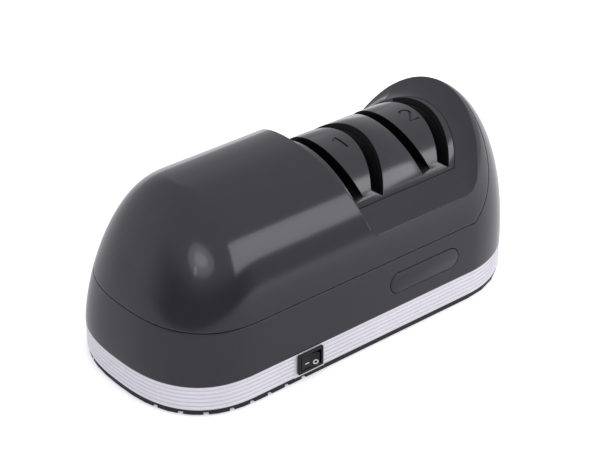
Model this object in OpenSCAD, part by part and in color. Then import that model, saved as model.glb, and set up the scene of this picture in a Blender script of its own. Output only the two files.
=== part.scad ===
// Electric knife sharpener with two grinding stages: a domed motor end, a lower
// module with four knife slots, and an arched tail, on a ribbed trim band.
// X runs from the domed nose to the tail, -Y is the front with the switch, +Z is up.
// The origin is under the middle of the body, on the surface that the feet stand on.

/* [Body] */
// Length of the body at the trim band
body_l = 227; // [215:1:245]
// Width of the body at the trim band
body_w = 103.7; // [98:0.1:112]
// Height of the crown of the dome
dome_top = 95.5; // [92:0.5:104]
// Roundness of the cross-section, 2 is an ellipse
arch_power = 2.3; // [2:0.05:2.8]
// Length of the rounded nose in plan
nose_depth = 44; // [38:1:50]
// Roundness of the nose in plan
nose_power = 2.5; // [2:0.1:3]
// How far the nose leans back by the crown
nose_run = 38; // [30:1:46]
// Roundness of the nose from the side
nose_side_power = 1.45; // [1.3:0.05:2]
// Roundness of the tail's corners in plan, as a share of half the width
tail_round = 0.964; // [0.8:0.002:0.99]
// How far the tail leans in by the crown
tail_run = 34; // [26:1:42]
// Roundness of the tail from the side
tail_side_power = 2.3; // [1.8:0.1:3]
// Wall of the moulded shells
shell_wall = 2.4; // [1.8:0.1:3]
// Height of the seam between housing and cover
seam_z = 42.2; // [38:0.2:46]
// Width of the seam's shadow gap
seam_gap = 0.5; // [0.3:0.1:0.8]
// Where the seam starts to climb round the tail
seam_turn_x = 68; // [62:1:72]
// How far the seam runs on while it climbs
seam_reach = 23; // [20:1:25]
// Height over which the seam makes most of its turn
seam_rise = 15; // [10:1:20]

/* [Base and trim band] */
// Height of the rubber feet under the base
foot_drop = 0.6; // [0.4:0.1:1.5]
// Height of the base rim that shows under the band
base_rim_h = 2.6; // [2:0.1:4]
// How far the base rim stands in from the band
base_inset = 0.6; // [0.4:0.1:2]
// Top of the trim band
band_top = 16.2; // [15.4:0.1:19]
// Wall of the trim band behind its ribs
band_wall = 2.2; // [1.8:0.1:2.8]
// How far the ribs stand out of the band
rib_proud = 0.5; // [0.3:0.1:0.8]
// Number of ribs on the band
rib_count = 6; // [4:1:7]
// Width of a vent notch in the base rim
notch_w = 2.5; // [2:0.5:4]
// Number of vent notches along each half of the base rim's round nose
notch_count = 4; // [2:1:6]
// Number of vent notches along each straight side of the base rim
side_notch_count = 4; // [2:1:6]
// Radius of a rubber foot
foot_r = 7; // [5:0.5:9]
// Thickness of a rubber foot
foot_h = 2.4; // [1.6:0.2:2.6]

/* [Recess] */
// Where the dome's cut face meets the flare's foot
cut_x = 4; // [0:0.5:8]
// Slope of the dome's cut face at its foot
cut_lean = 0.27; // [0.1:0.01:0.4]
// How much the cut face curves back with height
cut_curve = 0.0022; // [0:0.0002:0.004]
// Height of the flare's foot on the outer skin
flare_foot_z = 57.2; // [54:0.2:60]
// Half width of the guide module at its crease
crease_y = 35.2; // [33:0.1:37]
// Height of the crease between flare and module
crease_z = 67; // [65:0.2:69]
// Height of the top of the guide module
module_top = 85; // [83:0.5:88]
// Centre height of the module's arch
module_axis_z = 48; // [44:1:52]
// Where the module ends at the crease
module_end_x = 66; // [65:0.5:68]
// Slope of the module's tail end
module_end_lean = 0.78; // [0.5:0.02:0.9]
// Where the tail flare starts at the crease
flare_start_x = 64; // [62:0.5:66]
// Slope of the tail flare's start
flare_lean = 0.4; // [0.3:0.05:0.7]
// Run of the tail flare
flare_run = 14.5; // [13:0.5:18]
// Rise of the tail flare over its run
flare_rise = 9.5; // [8:0.5:11]
// How late and how steeply the flare rises
flare_power = 6; // [4:1:8]
// Share of the wall by which the flare's inner side starts later, so that its steep part keeps its thickness
flare_inner = 0.7; // [0.3:0.1:1]
// Wall of the guide module
module_wall = 2.4; // [1.8:0.1:3]
// Joint gap round the guide module
module_gap = 0.25; // [0.15:0.05:0.4]

/* [Knife slots] */
// Height of the slots' floor
slot_floor_z = 70; // [69:0.5:72]
// Width of a slot on the dome side of a stage
left_slot_w = 5.4; // [5.2:0.1:5.6]
// Width of a slot on the tail side of a stage
right_slot_w = 6.3; // [6:0.1:6.5]
// Lean of the slots on the dome side, in degrees
left_slot_lean = -11; // [-16:1:-6]
// Lean of the slots on the tail side, in degrees
right_slot_lean = 34; // [28:1:36]
// Turn of all slots in plan, in degrees
slot_yaw = 5; // [0:0.5:6]
// Middle of stage 1 at the slots' floor, over the shaft
stage_1_x = 15; // [14:0.5:16]
// Middle of stage 2 at the slots' floor, over the shaft
stage_2_x = 58; // [57:0.5:59]
// Distance between a stage's two slots at their floor
slot_pair = 11; // [10:0.5:12]
// Wall of the black slot liners
liner_wall = 1.2; // [0.8:0.1:1.4]
// Depth of the engraved stage numbers
digit_depth = 0.5; // [0.3:0.1:0.8]

/* [Switch] */
// Middle of the rocker switch along the front
switch_x = -40; // [-50:1:-20]
// Width of the switch's bezel
bezel_w = 15; // [14:0.5:17]
// Height of the switch's bezel
bezel_h = 10.6; // [10:0.2:11]
// How far the bezel stands out of the band
bezel_proud = 1.6; // [1:0.2:2]
// Depth of the switch body behind the bezel
switch_depth = 12; // [10:0.5:14]
// How far the rocker turns from off to on, in degrees
rocker_throw = 20; // [10:1:22]
// How far the rocker's ends stand out of the bezel at the middle of its throw
rocker_proud = 0.7; // [0.2:0.1:1]
// Clearance round the rocker
rocker_gap = 0.3; // [0.25:0.05:0.4]

/* [Motor] */
// Height of the motor and wheel axis
axis_z = 45; // [44:0.5:46]
// Outer radius of the motor can
motor_r = 27; // [24:0.5:28]
// Length of the motor can
motor_l = 56; // [50:1:60]
// Where the motor's drive end stands
motor_front_x = -22; // [-26:1:-20]
// Wall of the motor can
can_wall = 1.8; // [1.2:0.1:2.2]
// Radius of the motor shaft and the wheel shaft
shaft_r = 3; // [2.5:0.25:4]
// Radius of the rotor core
rotor_r = 16; // [14:0.5:17]
// Gap between the rotor and the magnets
rotor_gap = 0.8; // [0.5:0.1:1.2]
// Radius of the cooling fan
fan_r = 22; // [18:0.5:24]
// Number of fan blades
fan_blades = 8; // [5:1:11]

/* [Grinding wheels] */
// Radius of a grinding wheel
wheel_r = 27; // [25:0.5:28]
// Width of a grinding wheel at its rim
wheel_rim_w = 6.5; // [5:0.5:7]
// Width of a grinding wheel at its hub
wheel_hub_w = 13.5; // [11:0.5:15]
// Radius of a wheel's hub
hub_r = 10; // [8:0.5:12]
// Outer radius of a shaft bearing
bearing_r = 8; // [7:0.5:9.5]
// Width of a shaft bearing
bearing_w = 5; // [4:0.5:6]

/* [Hidden] */
$fn = 64;

// Derived sizes of the body
floor_z = foot_drop + base_rim_h;
notch_h = 0.5 * base_rim_h;
front_y = -body_w / 2;
big = body_l;
levels = 14;
nose_steps = 11;
corner_steps = 7;
band_inner = rib_proud + band_wall;
// Derived sizes of the recess
arch_h = module_top - module_axis_z;
arch_w = crease_y / sqrt(1 - pow((crease_z - module_axis_z) / arch_h, 2));
arch_steps = 30;
foot_y = half_w(flare_foot_z, 0);
flare_stations = [0, 5, 8, 10.5, 12.5, 14.5, 16.5, 18.5];
// Derived sizes of the drive
motor_back_x = motor_front_x - motor_l;
can_inner_r = motor_r - can_wall;
boss_r = 9;
boss_l = 2.5;
bush_r = 6;
end_cap_l = 3.5;
commutator_r = 7;
commutator_l = 9.5;
brush_w = 5;
core_back_x = motor_back_x + 16;
core_front_x = motor_front_x - 10;
coil_l = 4.5;
fan_l = 8;
fan_x = motor_back_x - end_cap_l - boss_l - 9;
shaft_split_x = -13;
split_gap = 0.1;
coupling_l = 11;
block_l = 7;
front_block_x = stage_1_x - 20;
tail_block_x = stage_2_x + 22;
block_half_w = 14;
hub_l = 16;
run_fit = 0.05;
tail_shaft_end = tail_block_x + block_l + 5;
cradle_half_w = motor_r + 7;
cradle_top_z = axis_z - 5;
saddle_l = 8;
saddle_xs = [motor_back_x + 6, motor_front_x - 16];
strap_t = 1.5;
strap_screw_y = motor_r + 4.3;
m3_r = 1.5;
m25_r = 1.25;
screw_fit = 0.05;
// Derived sizes of the case
boss_x = body_l / 2 - 43.5;
boss_y = body_w / 2 - 8.85;
boss_rib_y = body_w / 2 - 0.85 * shell_wall;
boss_post_r = 4.5;
boss_foot_z = floor_z + 4.8;
boss_top_z = band_top + 7.8;
foot_x = body_l / 2 - 35.5;
foot_y_pos = body_w / 2 - 23.85;
tray_x = [stage_1_x - 11, stage_2_x + 18];
tray_half_w = wheel_r + 4;
tray_z = [floor_z + 4.8, axis_z + 15];
tray_wall = 1.6;
gland_x = -body_l / 2 + 43.5;
gland_r = 7;
gland_neck_r = 5;
gland_collar_r = gland_neck_r + 1;
gland_bore_r = 3.4;
gland_z = boss_top_z + gland_collar_r + 0.5;
gland_seat_y = half_w(gland_z + gland_r, 0) - 0.6;
clamp_half_w = 10.5;
clamp_half_d = 3;
clamp_y = cradle_half_w + clamp_half_d + 0.3;
clamp_h = 6;
clamp_screw_x = 8;
clamp_screw_l = 13;
board_x = [saddle_xs[1] - 17, motor_front_x + 10];
board_y = cradle_half_w + 6;
board_t = 1.6;
board_z = [floor_z + 5.8, floor_z + 30.8];
switch_z = (floor_z + band_top) / 2 + 0.6;
rocker_h = 7.4;
rocker_axis_y = 3.8;
well_half_w = bezel_w / 2 - 1.4;
rocker_face_y = rocker_axis_y + bezel_proud + rocker_proud;
rocker_half_w = (well_half_w - rocker_gap - rocker_face_y * sin(rocker_throw / 2)) / cos(rocker_throw / 2);
rocker_reach = rocker_face_y * cos(rocker_throw / 2) + rocker_half_w * sin(rocker_throw / 2)
    - rocker_axis_y;
rocker_pin_r = 1;
rocker_pin_l = 0.6;
badge_x = 33;
badge_z = 29.4;
badge_l = 44;
badge_h = 10.4;
badge_t = 1.2;
badge_gap = 0.3;
badge_proud = 0.15;

function unit(v) = max(0, min(1, v));
function rise(z, t) = unit((z - band_top) / (dome_top - t - band_top));
function arc_of(s, p) = pow(max(0, 1 - pow(s, p)), 1 / p);
function half_w(z, t) = (body_w / 2 - t) * arc_of(rise(z, t), arch_power);
function nose_x(z, t) = -body_l / 2 + t + nose_run * (1 - arc_of(rise(z, t), nose_side_power));
function tail_x(z, t) = body_l / 2 - t - tail_run * (1 - arc_of(rise(z, t), tail_side_power));
function sgn_pow(v, p) = sign(v) * pow(abs(v), p);
function span(c, a, b) = [c + a, c + b];
function about(c, h) = [c - h, c + h];

// Plan outline of the body at height z, drawn in by t
function outline(z, t) =
    let (w = half_w(z, t), k = w / (body_w / 2), a = nose_depth * k, r = tail_round * w,
         xn = nose_x(z, t), xt = tail_x(z, t))
    concat(
        [for (i = [nose_steps:-1:-nose_steps]) let (q = 90 * i / nose_steps)
            [xn + a * (1 - pow(cos(q), 2 / nose_power)), w * sgn_pow(sin(q), 2 / nose_power)]],
        [for (i = [0:corner_steps]) let (q = -90 + 90 * i / corner_steps)
            [xt - r + r * cos(q), -(w - r) + r * sin(q)]],
        [for (i = [0:corner_steps]) let (q = 90 * i / corner_steps)
            [xt - r + r * cos(q), w - r + r * sin(q)]]);

// Height of slice i, closer together towards the crown
function level_z(i, t) = band_top + (dome_top - t - band_top) * min(0.9985, sin(90 * i / levels));

// The body's skin drawn in by t, from height z0 to the crown
module body_solid(t, z0) {
    if (z0 < band_top) bridge(raised(z0, t), raised(band_top, t));
    for (i = [0:levels - 1]) bridge(raised(level_z(i, t), t), raised(level_z(i + 1, t), t));
}

function raised(z, t) = [for (p = outline(z, t)) [p[0], p[1], z]];

// The convex solid between two rings of equally many points
module bridge(a, b) {
    n = len(a);
    sides = [for (i = [0:n - 1]) [i, (i + 1) % n, n + (i + 1) % n, n + i]];
    hull() polyhedron(concat(a, b), concat([[for (i = [n - 1:-1:0]) i]],
        sides, [[for (i = [n:2 * n - 1]) i]]));
}

// A side view outline in X and Z, run right through the body
module side_cut(points) {
    rotate([90, 0, 0]) linear_extrude(2 * body_w, center = true) polygon(points);
}

// The seam's climb round the tail, as a side view
function seam_x(z) = seam_turn_x + seam_reach * (1 - exp(-(z - seam_z) / seam_rise));
function seam_points(shift) =
    [for (z = [seam_z:3:dome_top + 12]) [seam_x(z) - shift, z + shift]];

module above_seam(shift) {
    side_cut(concat([[-big, seam_z + shift]], seam_points(shift), [[-big, dome_top + 12]]));
}

// The dome's cut face, as a side view
function cut_face_x(z) =
    let (h = z - flare_foot_z) cut_x - cut_lean * h - cut_curve * h * max(h, 0);

module right_of_cut(shift) {
    side_cut(concat([for (z = [20:5:dome_top + 12]) [cut_face_x(z) + shift, z]],
        [[big, dome_top + 12], [big, 20]]));
}

// Cross-sections of the hill that carries the guide module, swollen by e
function arch_profile(e) = concat(
    [[arch_w + e, 20]],
    [for (i = [0:arch_steps]) let (q = 180 * i / arch_steps)
        [(arch_w + e) * cos(q), module_axis_z + (arch_h + e) * sin(q)]],
    [[-arch_w - e, 20]]);

function flare_profile(e) =
    let (dy = foot_y - crease_y, dz = crease_z - flare_foot_z, n = norm([dy, dz]),
         y = crease_y + e * dz / n, z = crease_z + e * dy / n)
    [[y + 2 * dy, 20], [y + 2 * dy, z - 2 * dz], [y, z], [-y, z], [-y - 2 * dy, z - 2 * dz],
     [-y - 2 * dy, 20]];

function swell(d) = flare_rise * pow(d / flare_run, flare_power);

function station(x, profile) = [for (p = profile) [x, p[0], p[1]]];

// The hill, leaning with the tail flare
module hill(e) multmatrix([[1, 0, flare_lean, -flare_lean * crease_z], [0, 1, 0, 0], [0, 0, 1, 0]]) {
    start = flare_start_x - flare_inner * e;
    last = flare_stations[len(flare_stations) - 1];
    bridge(station(-60, arch_profile(e)), station(start, arch_profile(e)));
    bridge(station(-60, flare_profile(e)), station(start, flare_profile(e)));
    for (i = [0:len(flare_stations) - 2]) {
        a = flare_stations[i];
        b = flare_stations[i + 1];
        bridge(station(start + a, arch_profile(e + swell(a))),
            station(start + b, arch_profile(e + swell(b))));
        bridge(station(start + a, flare_profile(e + swell(a))),
            station(start + b, flare_profile(e + swell(b))));
    }
    bridge(station(start + last, arch_profile(e + swell(last))),
        station(big, arch_profile(e + swell(last))));
}

// The place of the guide module, drawn in by g
module module_place(g) {
    lean = module_end_lean;
    side_cut(concat([for (z = [crease_z + g:3:dome_top + 12]) [cut_face_x(z) + g, z]],
        [[module_end_x + lean * (dome_top + 12 - crease_z) - g, dome_top + 12],
         [module_end_x - g + lean * g, crease_z + g]]));
}

module along_x(x0, x1, r) {
    translate([x0, 0, axis_z]) rotate([0, 90, 0]) cylinder(h = x1 - x0, r = r);
}

module tube_x(x0, x1, r, bore) {
    difference() {
        along_x(x0, x1, r);
        along_x(x0 - 1, x1 + 1, bore);
    }
}

module box(x, y, z) {
    translate([x[0], y[0], z[0]]) cube([x[1] - x[0], y[1] - y[0], z[1] - z[0]]);
}

// ---- Base and band ----

module base_plate() color([0.07, 0.07, 0.075]) difference() {
    union() {
        translate([0, 0, foot_drop]) linear_extrude(base_rim_h) polygon(outline(band_top, base_inset));
        for (x = [-boss_x, boss_x], y = [-boss_y, boss_y])
            translate([x, y, floor_z]) cylinder(h = boss_foot_z - floor_z, r = boss_post_r);
        for (x = tray_x + [5, -5], y = [-1, 1])
            translate([x, y * (tray_half_w - 6), floor_z]) cylinder(h = tray_z[0] - floor_z, r = 3);
        for (x = [board_x[0] + 6, board_x[1] - 6])
            box([x - 2, x + 2], [board_y - 2, board_y + board_t + 2], [floor_z, board_z[0]]);
        for (s = [-1, 1])
            box(about(gland_x + clamp_screw_x * s, clamp_half_w - clamp_screw_x),
                about(clamp_y, clamp_half_d), [floor_z, gland_z]);
    }
    for (x = [-foot_x, foot_x], y = [-foot_y_pos, foot_y_pos])
        translate([x, y, -1]) cylinder(h = foot_h + 1, r = foot_r + 0.1);
    for (x = [-boss_x, boss_x], y = [-boss_y, boss_y]) {
        translate([x, y, 0]) cylinder(h = boss_foot_z + 1, r = m3_r + 0.2);
        translate([x, y, 0]) cylinder(h = floor_z - 0.8, r = 3);
    }
    for (i = [-2:3]) box(span(fan_x - 2 + 6 * i, 0, 3), [-13, 13], [0, floor_z + 1]);
    for (s = [-1, 1])
        translate([gland_x + clamp_screw_x * s, clamp_y, gland_z + clamp_h - clamp_screw_l - 1])
            cylinder(h = clamp_screw_l, r = m25_r + screw_fit);
    for (s = [-1, 1], i = [0:notch_count - 1]) notch(s, 24 + 68 * i / notch_count);
    for (s = [-1, 1], i = [0:side_notch_count - 1])
        translate([-body_l / 2 + nose_depth - 4 + 10.2 * i, s * (body_w / 2), foot_drop])
            cube([notch_w, 6, 2 * notch_h], center = true);
}

// A vent notch across the rim of the nose, at angle q of its outline
module notch(side, q) {
    a = nose_depth;
    e = 2 / nose_power;
    p = [-body_l / 2 + a * (1 - pow(cos(q), e)), side * body_w / 2 * pow(sin(q), e)];
    translate([p[0], p[1], foot_drop]) rotate(side * (180 - q))
        cube([6, notch_w, 2 * notch_h], center = true);
}

module rubber_feet() color([0.03, 0.03, 0.03])
    for (x = [-foot_x, foot_x], y = [-foot_y_pos, foot_y_pos])
        translate([x, y, 0]) cylinder(h = foot_h, r = foot_r);

module trim_band() color([0.75, 0.75, 0.78]) difference() {
    pitch = (band_top - floor_z) / rib_count;
    union() {
        band_ring(floor_z, band_top, rib_proud);
        for (i = [0:rib_count - 1])
            band_ring(floor_z + pitch * (i + 0.16), floor_z + pitch * (i + 0.84), 0);
        box(about(switch_x, bezel_w / 2 + 1.5), [front_y, front_y + band_wall],
            [floor_z, band_top]);
    }
    box(about(switch_x, bezel_w / 2 - 0.6), [front_y - 1, front_y + 6],
        about(switch_z, bezel_h / 2 - 0.4));
}

module band_ring(z0, z1, inset) {
    translate([0, 0, z0]) linear_extrude(z1 - z0) difference() {
        polygon(outline(band_top, inset));
        polygon(outline(band_top, band_inner));
    }
}

// ---- Shells ----

module lower_housing() color([0.22, 0.22, 0.235]) difference() {
    union() {
        difference() {
            body_solid(0, band_top);
            above_seam(0);
            body_solid(shell_wall, band_top - 3);
        }
        for (x = [-boss_x, boss_x], s = [-1, 1]) {
            translate([x, s * boss_y, boss_foot_z])
                cylinder(h = boss_top_z - boss_foot_z, r = boss_post_r);
            box([x - 1.5, x + 1.5], s > 0 ? [boss_y, boss_rib_y] : [-boss_rib_y, -boss_y],
                [band_top + 0.3, boss_top_z]);
        }
    }
    for (x = [-boss_x, boss_x], y = [-boss_y, boss_y])
        translate([x, y, boss_foot_z - 1]) cylinder(h = 13, r = m3_r + screw_fit);
    badge_pill(badge_gap, 3);
    translate([gland_x, gland_seat_y - 5, gland_z]) rotate([-90, 0, 0])
        cylinder(h = 10, r = gland_neck_r + 0.1);
    translate([gland_x, gland_seat_y, gland_z]) rotate([-90, 0, 0])
        cylinder(h = 10, r = gland_r + 0.1);
}

module upper_cover() color([0.24, 0.24, 0.255]) difference() {
    intersection() {
        body_solid(0, band_top);
        above_seam(seam_gap);
    }
    difference() {
        body_solid(shell_wall, band_top - 3);
        difference() {
            right_of_cut(-shell_wall);
            hill(-shell_wall);
        }
    }
    difference() {
        right_of_cut(0);
        hill(0);
    }
    module_place(0);
    intersection() {
        all_slots(0);
        rotate([90, 0, 90]) linear_extrude(2 * body_w, center = true) polygon(arch_profile(0));
    }
}

module guide_cover() color([0.23, 0.23, 0.245]) difference() {
    intersection() {
        rotate([90, 0, 90]) linear_extrude(2 * body_w, center = true) difference() {
            polygon(arch_profile(0));
            polygon(arch_profile(-module_wall));
        }
        module_place(module_gap);
    }
    all_slots(0);
    digit_one(stage_1_x + 5);
    digit_two(stage_2_x + 5.5);
}

// One knife slot, w wide, its floor's middle at x
module slot(x, lean, w, below) {
    translate([x, 0, slot_floor_z]) rotate([0, lean, -slot_yaw])
        translate([-w / 2, -body_w / 2, -below]) cube([w, body_w, 40 + below]);
}

module stage_slots(x, grow, below) {
    slot(x - slot_pair / 2, left_slot_lean, left_slot_w + 2 * grow, below);
    slot(x + slot_pair / 2, right_slot_lean, right_slot_w + 2 * grow, below);
}

module all_slots(grow) {
    stage_slots(stage_1_x, grow, 0);
    stage_slots(stage_2_x, grow, 0);
}

// The stage numbers stand upright when seen from the front
module digit_one(x) {
    translate([x, -4, module_top - digit_depth]) {
        box([-0.7, 0.7], [-5, 5], [0, 3]);
        translate([0, 5, 0]) rotate(45) translate([-3.5, -1.4, 0]) cube([3.5, 1.4, 3]);
    }
}

module digit_two(x) {
    translate([x, -4, module_top - digit_depth]) {
        difference() {
            translate([0, 2.2, 0]) cylinder(h = 3, r = 3);
            translate([0, 2.2, -1]) cylinder(h = 5, r = 1.6);
            translate([-4, -4, -1]) rotate(-12) cube([5, 6.2, 5]);
        }
        translate([1.9, 1, 0]) rotate(48) translate([-8.1, -1.4, 0]) cube([8.1, 1.4, 3]);
        box([-3.4, 3.2], [-5.4, -4], [0, 3]);
    }
}

// ---- Slot liners ----

module stage_liner(x) {
    difference() {
        intersection() {
            union() {
                stage_slots(x, liner_wall, liner_wall);
                box(about(x, 9), [-26, 26], span(slot_floor_z, -3, -1));
            }
            rotate([90, 0, 90]) linear_extrude(2 * body_w, center = true)
                polygon(arch_profile(-module_wall - module_gap));
            box([-big, big], [-33, 33], [slot_floor_z - 3, dome_top]);
        }
        stage_slots(x, 0, 0);
        along_x(x - 5.5, x + 5, wheel_r + 1);
    }
}

module stage_1_liner() color([0.04, 0.04, 0.045]) stage_liner(stage_1_x);

module stage_2_liner() color([0.04, 0.04, 0.045]) stage_liner(stage_2_x);

// ---- Badge ----

module badge_pill(grow, deep) {
    lean = atan((half_w(badge_z - 5, 0) - half_w(badge_z + 5, 0)) / 10);
    r = badge_h / 2 + grow;
    translate([badge_x, -half_w(badge_z, 0) - badge_proud, badge_z]) rotate([-90 - lean, 0, 0]) {
        for (s = [-1, 1]) translate([s * (badge_l - badge_h) / 2, 0, 0]) cylinder(h = deep, r = r);
        translate([-(badge_l - badge_h) / 2, -r, 0]) cube([badge_l - badge_h, 2 * r, deep]);
    }
}

module badge_plate() color([0.2, 0.2, 0.21]) badge_pill(0, badge_t);

// ---- Rocker switch ----

module switch_frame() {
    translate([switch_x, front_y, switch_z]) children();
}

module switch_housing() color([0.05, 0.05, 0.05]) switch_frame() difference() {
    union() {
        box([-1, 1] * bezel_w / 2, [-bezel_proud, 0], [-1, 1] * bezel_h / 2);
        box([-1, 1] * (bezel_w / 2 - 0.8), [0, switch_depth], [-1, 1] * (bezel_h / 2 - 0.6));
    }
    box([-1, 1] * well_half_w, [-bezel_proud - 1, switch_depth - 2],
        [-1, 1] * (rocker_h / 2 + rocker_gap));
    translate([0, rocker_axis_y, 0])
        cylinder(h = rocker_h + 2 * rocker_pin_l + 0.2, r = rocker_pin_r + run_fit, center = true);
}

module switch_rocker() color([0.06, 0.06, 0.06]) switch_frame()
    translate([0, rocker_axis_y, 0]) rotate(-rocker_throw / 2) {
        translate([0, 0, -rocker_h / 2]) linear_extrude(rocker_h) polygon([
            [-rocker_half_w, -rocker_face_y], [0, -rocker_face_y + 1], [rocker_half_w, -rocker_face_y],
            [rocker_half_w, -2], [2.6, 2.4], [0, 3], [-2.6, 2.4], [-rocker_half_w, -2]]);
        cylinder(h = rocker_h + 2 * rocker_pin_l, r = rocker_pin_r, center = true);
    }

module switch_terminals() color([0.75, 0.68, 0.45]) switch_frame()
    for (x = [-3.5, 3.5]) box(about(x, 0.4), [switch_depth, switch_depth + 5], [-2.4, 2.4]);

// ---- Motor ----

module motor_can() color([0.6, 0.6, 0.62]) difference() {
    union() {
        along_x(motor_back_x, motor_front_x, motor_r);
        along_x(motor_front_x, motor_front_x + boss_l, boss_r);
    }
    along_x(motor_back_x - 1, motor_front_x - can_wall, can_inner_r);
    along_x(motor_front_x - can_wall - 1, motor_front_x + boss_l + 1, bush_r);
}

module motor_end_cap() color([0.1, 0.1, 0.1]) difference() {
    union() {
        along_x(motor_back_x - end_cap_l, motor_back_x, motor_r);
        along_x(motor_back_x - end_cap_l - boss_l, motor_back_x - end_cap_l, boss_r);
    }
    along_x(motor_back_x - end_cap_l - boss_l - 1, motor_back_x + 1, bush_r);
    for (q = [30:60:330]) translate([0, 0, axis_z]) rotate([q, 0, 0])
        translate([motor_back_x - end_cap_l - 1, -2, 13]) cube([end_cap_l + 2, 4, 9]);
}

module motor_magnets() color([0.2, 0.2, 0.21]) difference() {
    tube_x(core_back_x, core_front_x, can_inner_r, rotor_r + rotor_gap);
    box([-big, big], [-big, big], about(axis_z, 6));
}

module brush_holders() color([0.65, 0.5, 0.25]) for (s = [-1, 1]) {
    y = s > 0 ? [8.2, 17] : [-17, -8.2];
    difference() {
        box([motor_back_x, motor_back_x + 7.6], y, about(axis_z, 3.5));
        box(span(motor_back_x + 1, 0, brush_w + 0.2), [-20, 20], about(axis_z, brush_w / 2 + 0.1));
    }
}

module carbon_brushes() color([0.12, 0.12, 0.12]) for (s = [-1, 1])
    box(span(motor_back_x + 1.1, 0, brush_w), s > 0 ? [commutator_r + 0.3, 15] : [-15, -commutator_r - 0.3],
        about(axis_z, brush_w / 2));

module motor_bushes() color([0.7, 0.55, 0.3]) {
    tube_x(motor_back_x - end_cap_l - boss_l, motor_back_x - 1, bush_r, shaft_r + run_fit);
    tube_x(motor_front_x - can_wall, motor_front_x + boss_l, bush_r, shaft_r + run_fit);
}

module motor_cradle() color([0.15, 0.15, 0.16]) difference() {
    union() {
        for (x = saddle_xs) box([x, x + saddle_l], [-1, 1] * cradle_half_w, [floor_z, cradle_top_z]);
        box([saddle_xs[0], saddle_xs[1] + saddle_l], [-20, 20], span(floor_z, 0, 3));
    }
    along_x(motor_back_x, motor_front_x, motor_r);
    for (x = saddle_xs, s = [-1, 1]) translate([x + saddle_l / 2, s * strap_screw_y, cradle_top_z - 12])
        cylinder(h = 13, r = m25_r + screw_fit);
}

module motor_straps() color([0.7, 0.7, 0.72]) for (x = saddle_xs) difference() {
    union() {
        tube_x(x, x + saddle_l, motor_r + strap_t, motor_r);
        for (s = [-1, 1])
            box([x, x + saddle_l],
                s > 0 ? [motor_r + 0.5, cradle_half_w] : [-cradle_half_w, -motor_r - 0.5],
                span(cradle_top_z, 0, strap_t));
    }
    along_x(x - 1, x + saddle_l + 1, motor_r);
    box([x - 1, x + saddle_l + 1], [-big, big], [0, cradle_top_z]);
    for (s = [-1, 1]) translate([x + saddle_l / 2, s * strap_screw_y, cradle_top_z - 1])
        cylinder(h = 4, r = m25_r + screw_fit);
}

// ---- Everything that spins ----

module motor_shaft() color([0.8, 0.8, 0.82]) along_x(fan_x, shaft_split_x - split_gap, shaft_r);

module rotor_core() color([0.45, 0.45, 0.48]) difference() {
    tube_x(core_back_x, core_front_x, rotor_r, shaft_r);
    for (q = [0:30:330]) translate([0, 0, axis_z]) rotate([q, 0, 0])
        translate([core_back_x - 1, -1, rotor_r - 4]) cube([core_front_x - core_back_x + 2, 2, 5]);
}

module rotor_windings() color([0.72, 0.4, 0.2]) {
    tube_x(core_back_x - coil_l, core_back_x, rotor_r - 3, shaft_r);
    tube_x(core_front_x, core_front_x + coil_l, rotor_r - 3, shaft_r);
}

module commutator() color([0.75, 0.5, 0.3])
    tube_x(core_back_x - coil_l - commutator_l, core_back_x - coil_l, commutator_r, shaft_r);

module cooling_fan() color([0.85, 0.85, 0.82]) difference() {
    union() {
        along_x(fan_x, fan_x + fan_l, 6);
        along_x(fan_x + fan_l - 1.2, fan_x + fan_l, fan_r);
        for (i = [0:fan_blades - 1]) translate([0, 0, axis_z]) rotate([360 * i / fan_blades, 0, 0])
            translate([fan_x, -0.7, 5]) cube([fan_l, 1.4, fan_r - 6]);
    }
    along_x(fan_x - 1, fan_x + fan_l + 1, shaft_r);
}

module shaft_coupling() color([0.5, 0.5, 0.52])
    tube_x(shaft_split_x - coupling_l / 2, shaft_split_x + coupling_l / 2, 6, shaft_r);

module wheel_shaft() color([0.8, 0.8, 0.82]) along_x(shaft_split_x + split_gap, tail_shaft_end, shaft_r);

// A grinding wheel with two coned faces
module grinding_wheel(x) {
    translate([x, 0, axis_z]) rotate([0, 90, 0]) rotate_extrude() polygon([
        [hub_r, -wheel_hub_w / 2], [wheel_r, -wheel_rim_w / 2], [wheel_r, wheel_rim_w / 2],
        [hub_r, wheel_hub_w / 2]]);
}

module coarse_wheel() color([0.35, 0.3, 0.28]) grinding_wheel(stage_1_x);

module fine_wheel() color([0.85, 0.84, 0.8]) grinding_wheel(stage_2_x);

module wheel_hubs() color([0.1, 0.1, 0.1]) for (x = [stage_1_x, stage_2_x])
    tube_x(x - hub_l / 2, x + hub_l / 2, hub_r, shaft_r);

module wheel_spacer() color([0.7, 0.7, 0.72])
    tube_x(stage_1_x + hub_l / 2, stage_2_x - hub_l / 2, 5, shaft_r);

module shaft_nut() color([0.75, 0.75, 0.77]) difference() {
    translate([stage_2_x + hub_l / 2, 0, axis_z]) rotate([0, 90, 0]) cylinder(h = 4, r = 6, $fn = 6);
    along_x(stage_2_x, stage_2_x + hub_l, shaft_r);
}

// ---- Shaft bearings ----

module bearing_block(x) difference() {
    union() {
        box([x, x + block_l], [-1, 1] * block_half_w, [floor_z, axis_z]);
        along_x(x, x + block_l, block_half_w);
        box(span(x, -3, block_l + 3), about(0, block_half_w + 6), span(floor_z, 0, 3));
    }
    along_x(x + 1, x + 1 + bearing_w, bearing_r);
    along_x(x - 1, x + block_l + 1, bearing_r - 1.5);
    for (s = [-1, 1]) translate([x + block_l / 2, s * (block_half_w + 3), floor_z - 1])
        cylinder(h = 5, r = m25_r + screw_fit);
}

module front_bearing_block() color([0.15, 0.15, 0.16]) bearing_block(front_block_x);

module tail_bearing_block() color([0.15, 0.15, 0.16]) bearing_block(tail_block_x);

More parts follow.
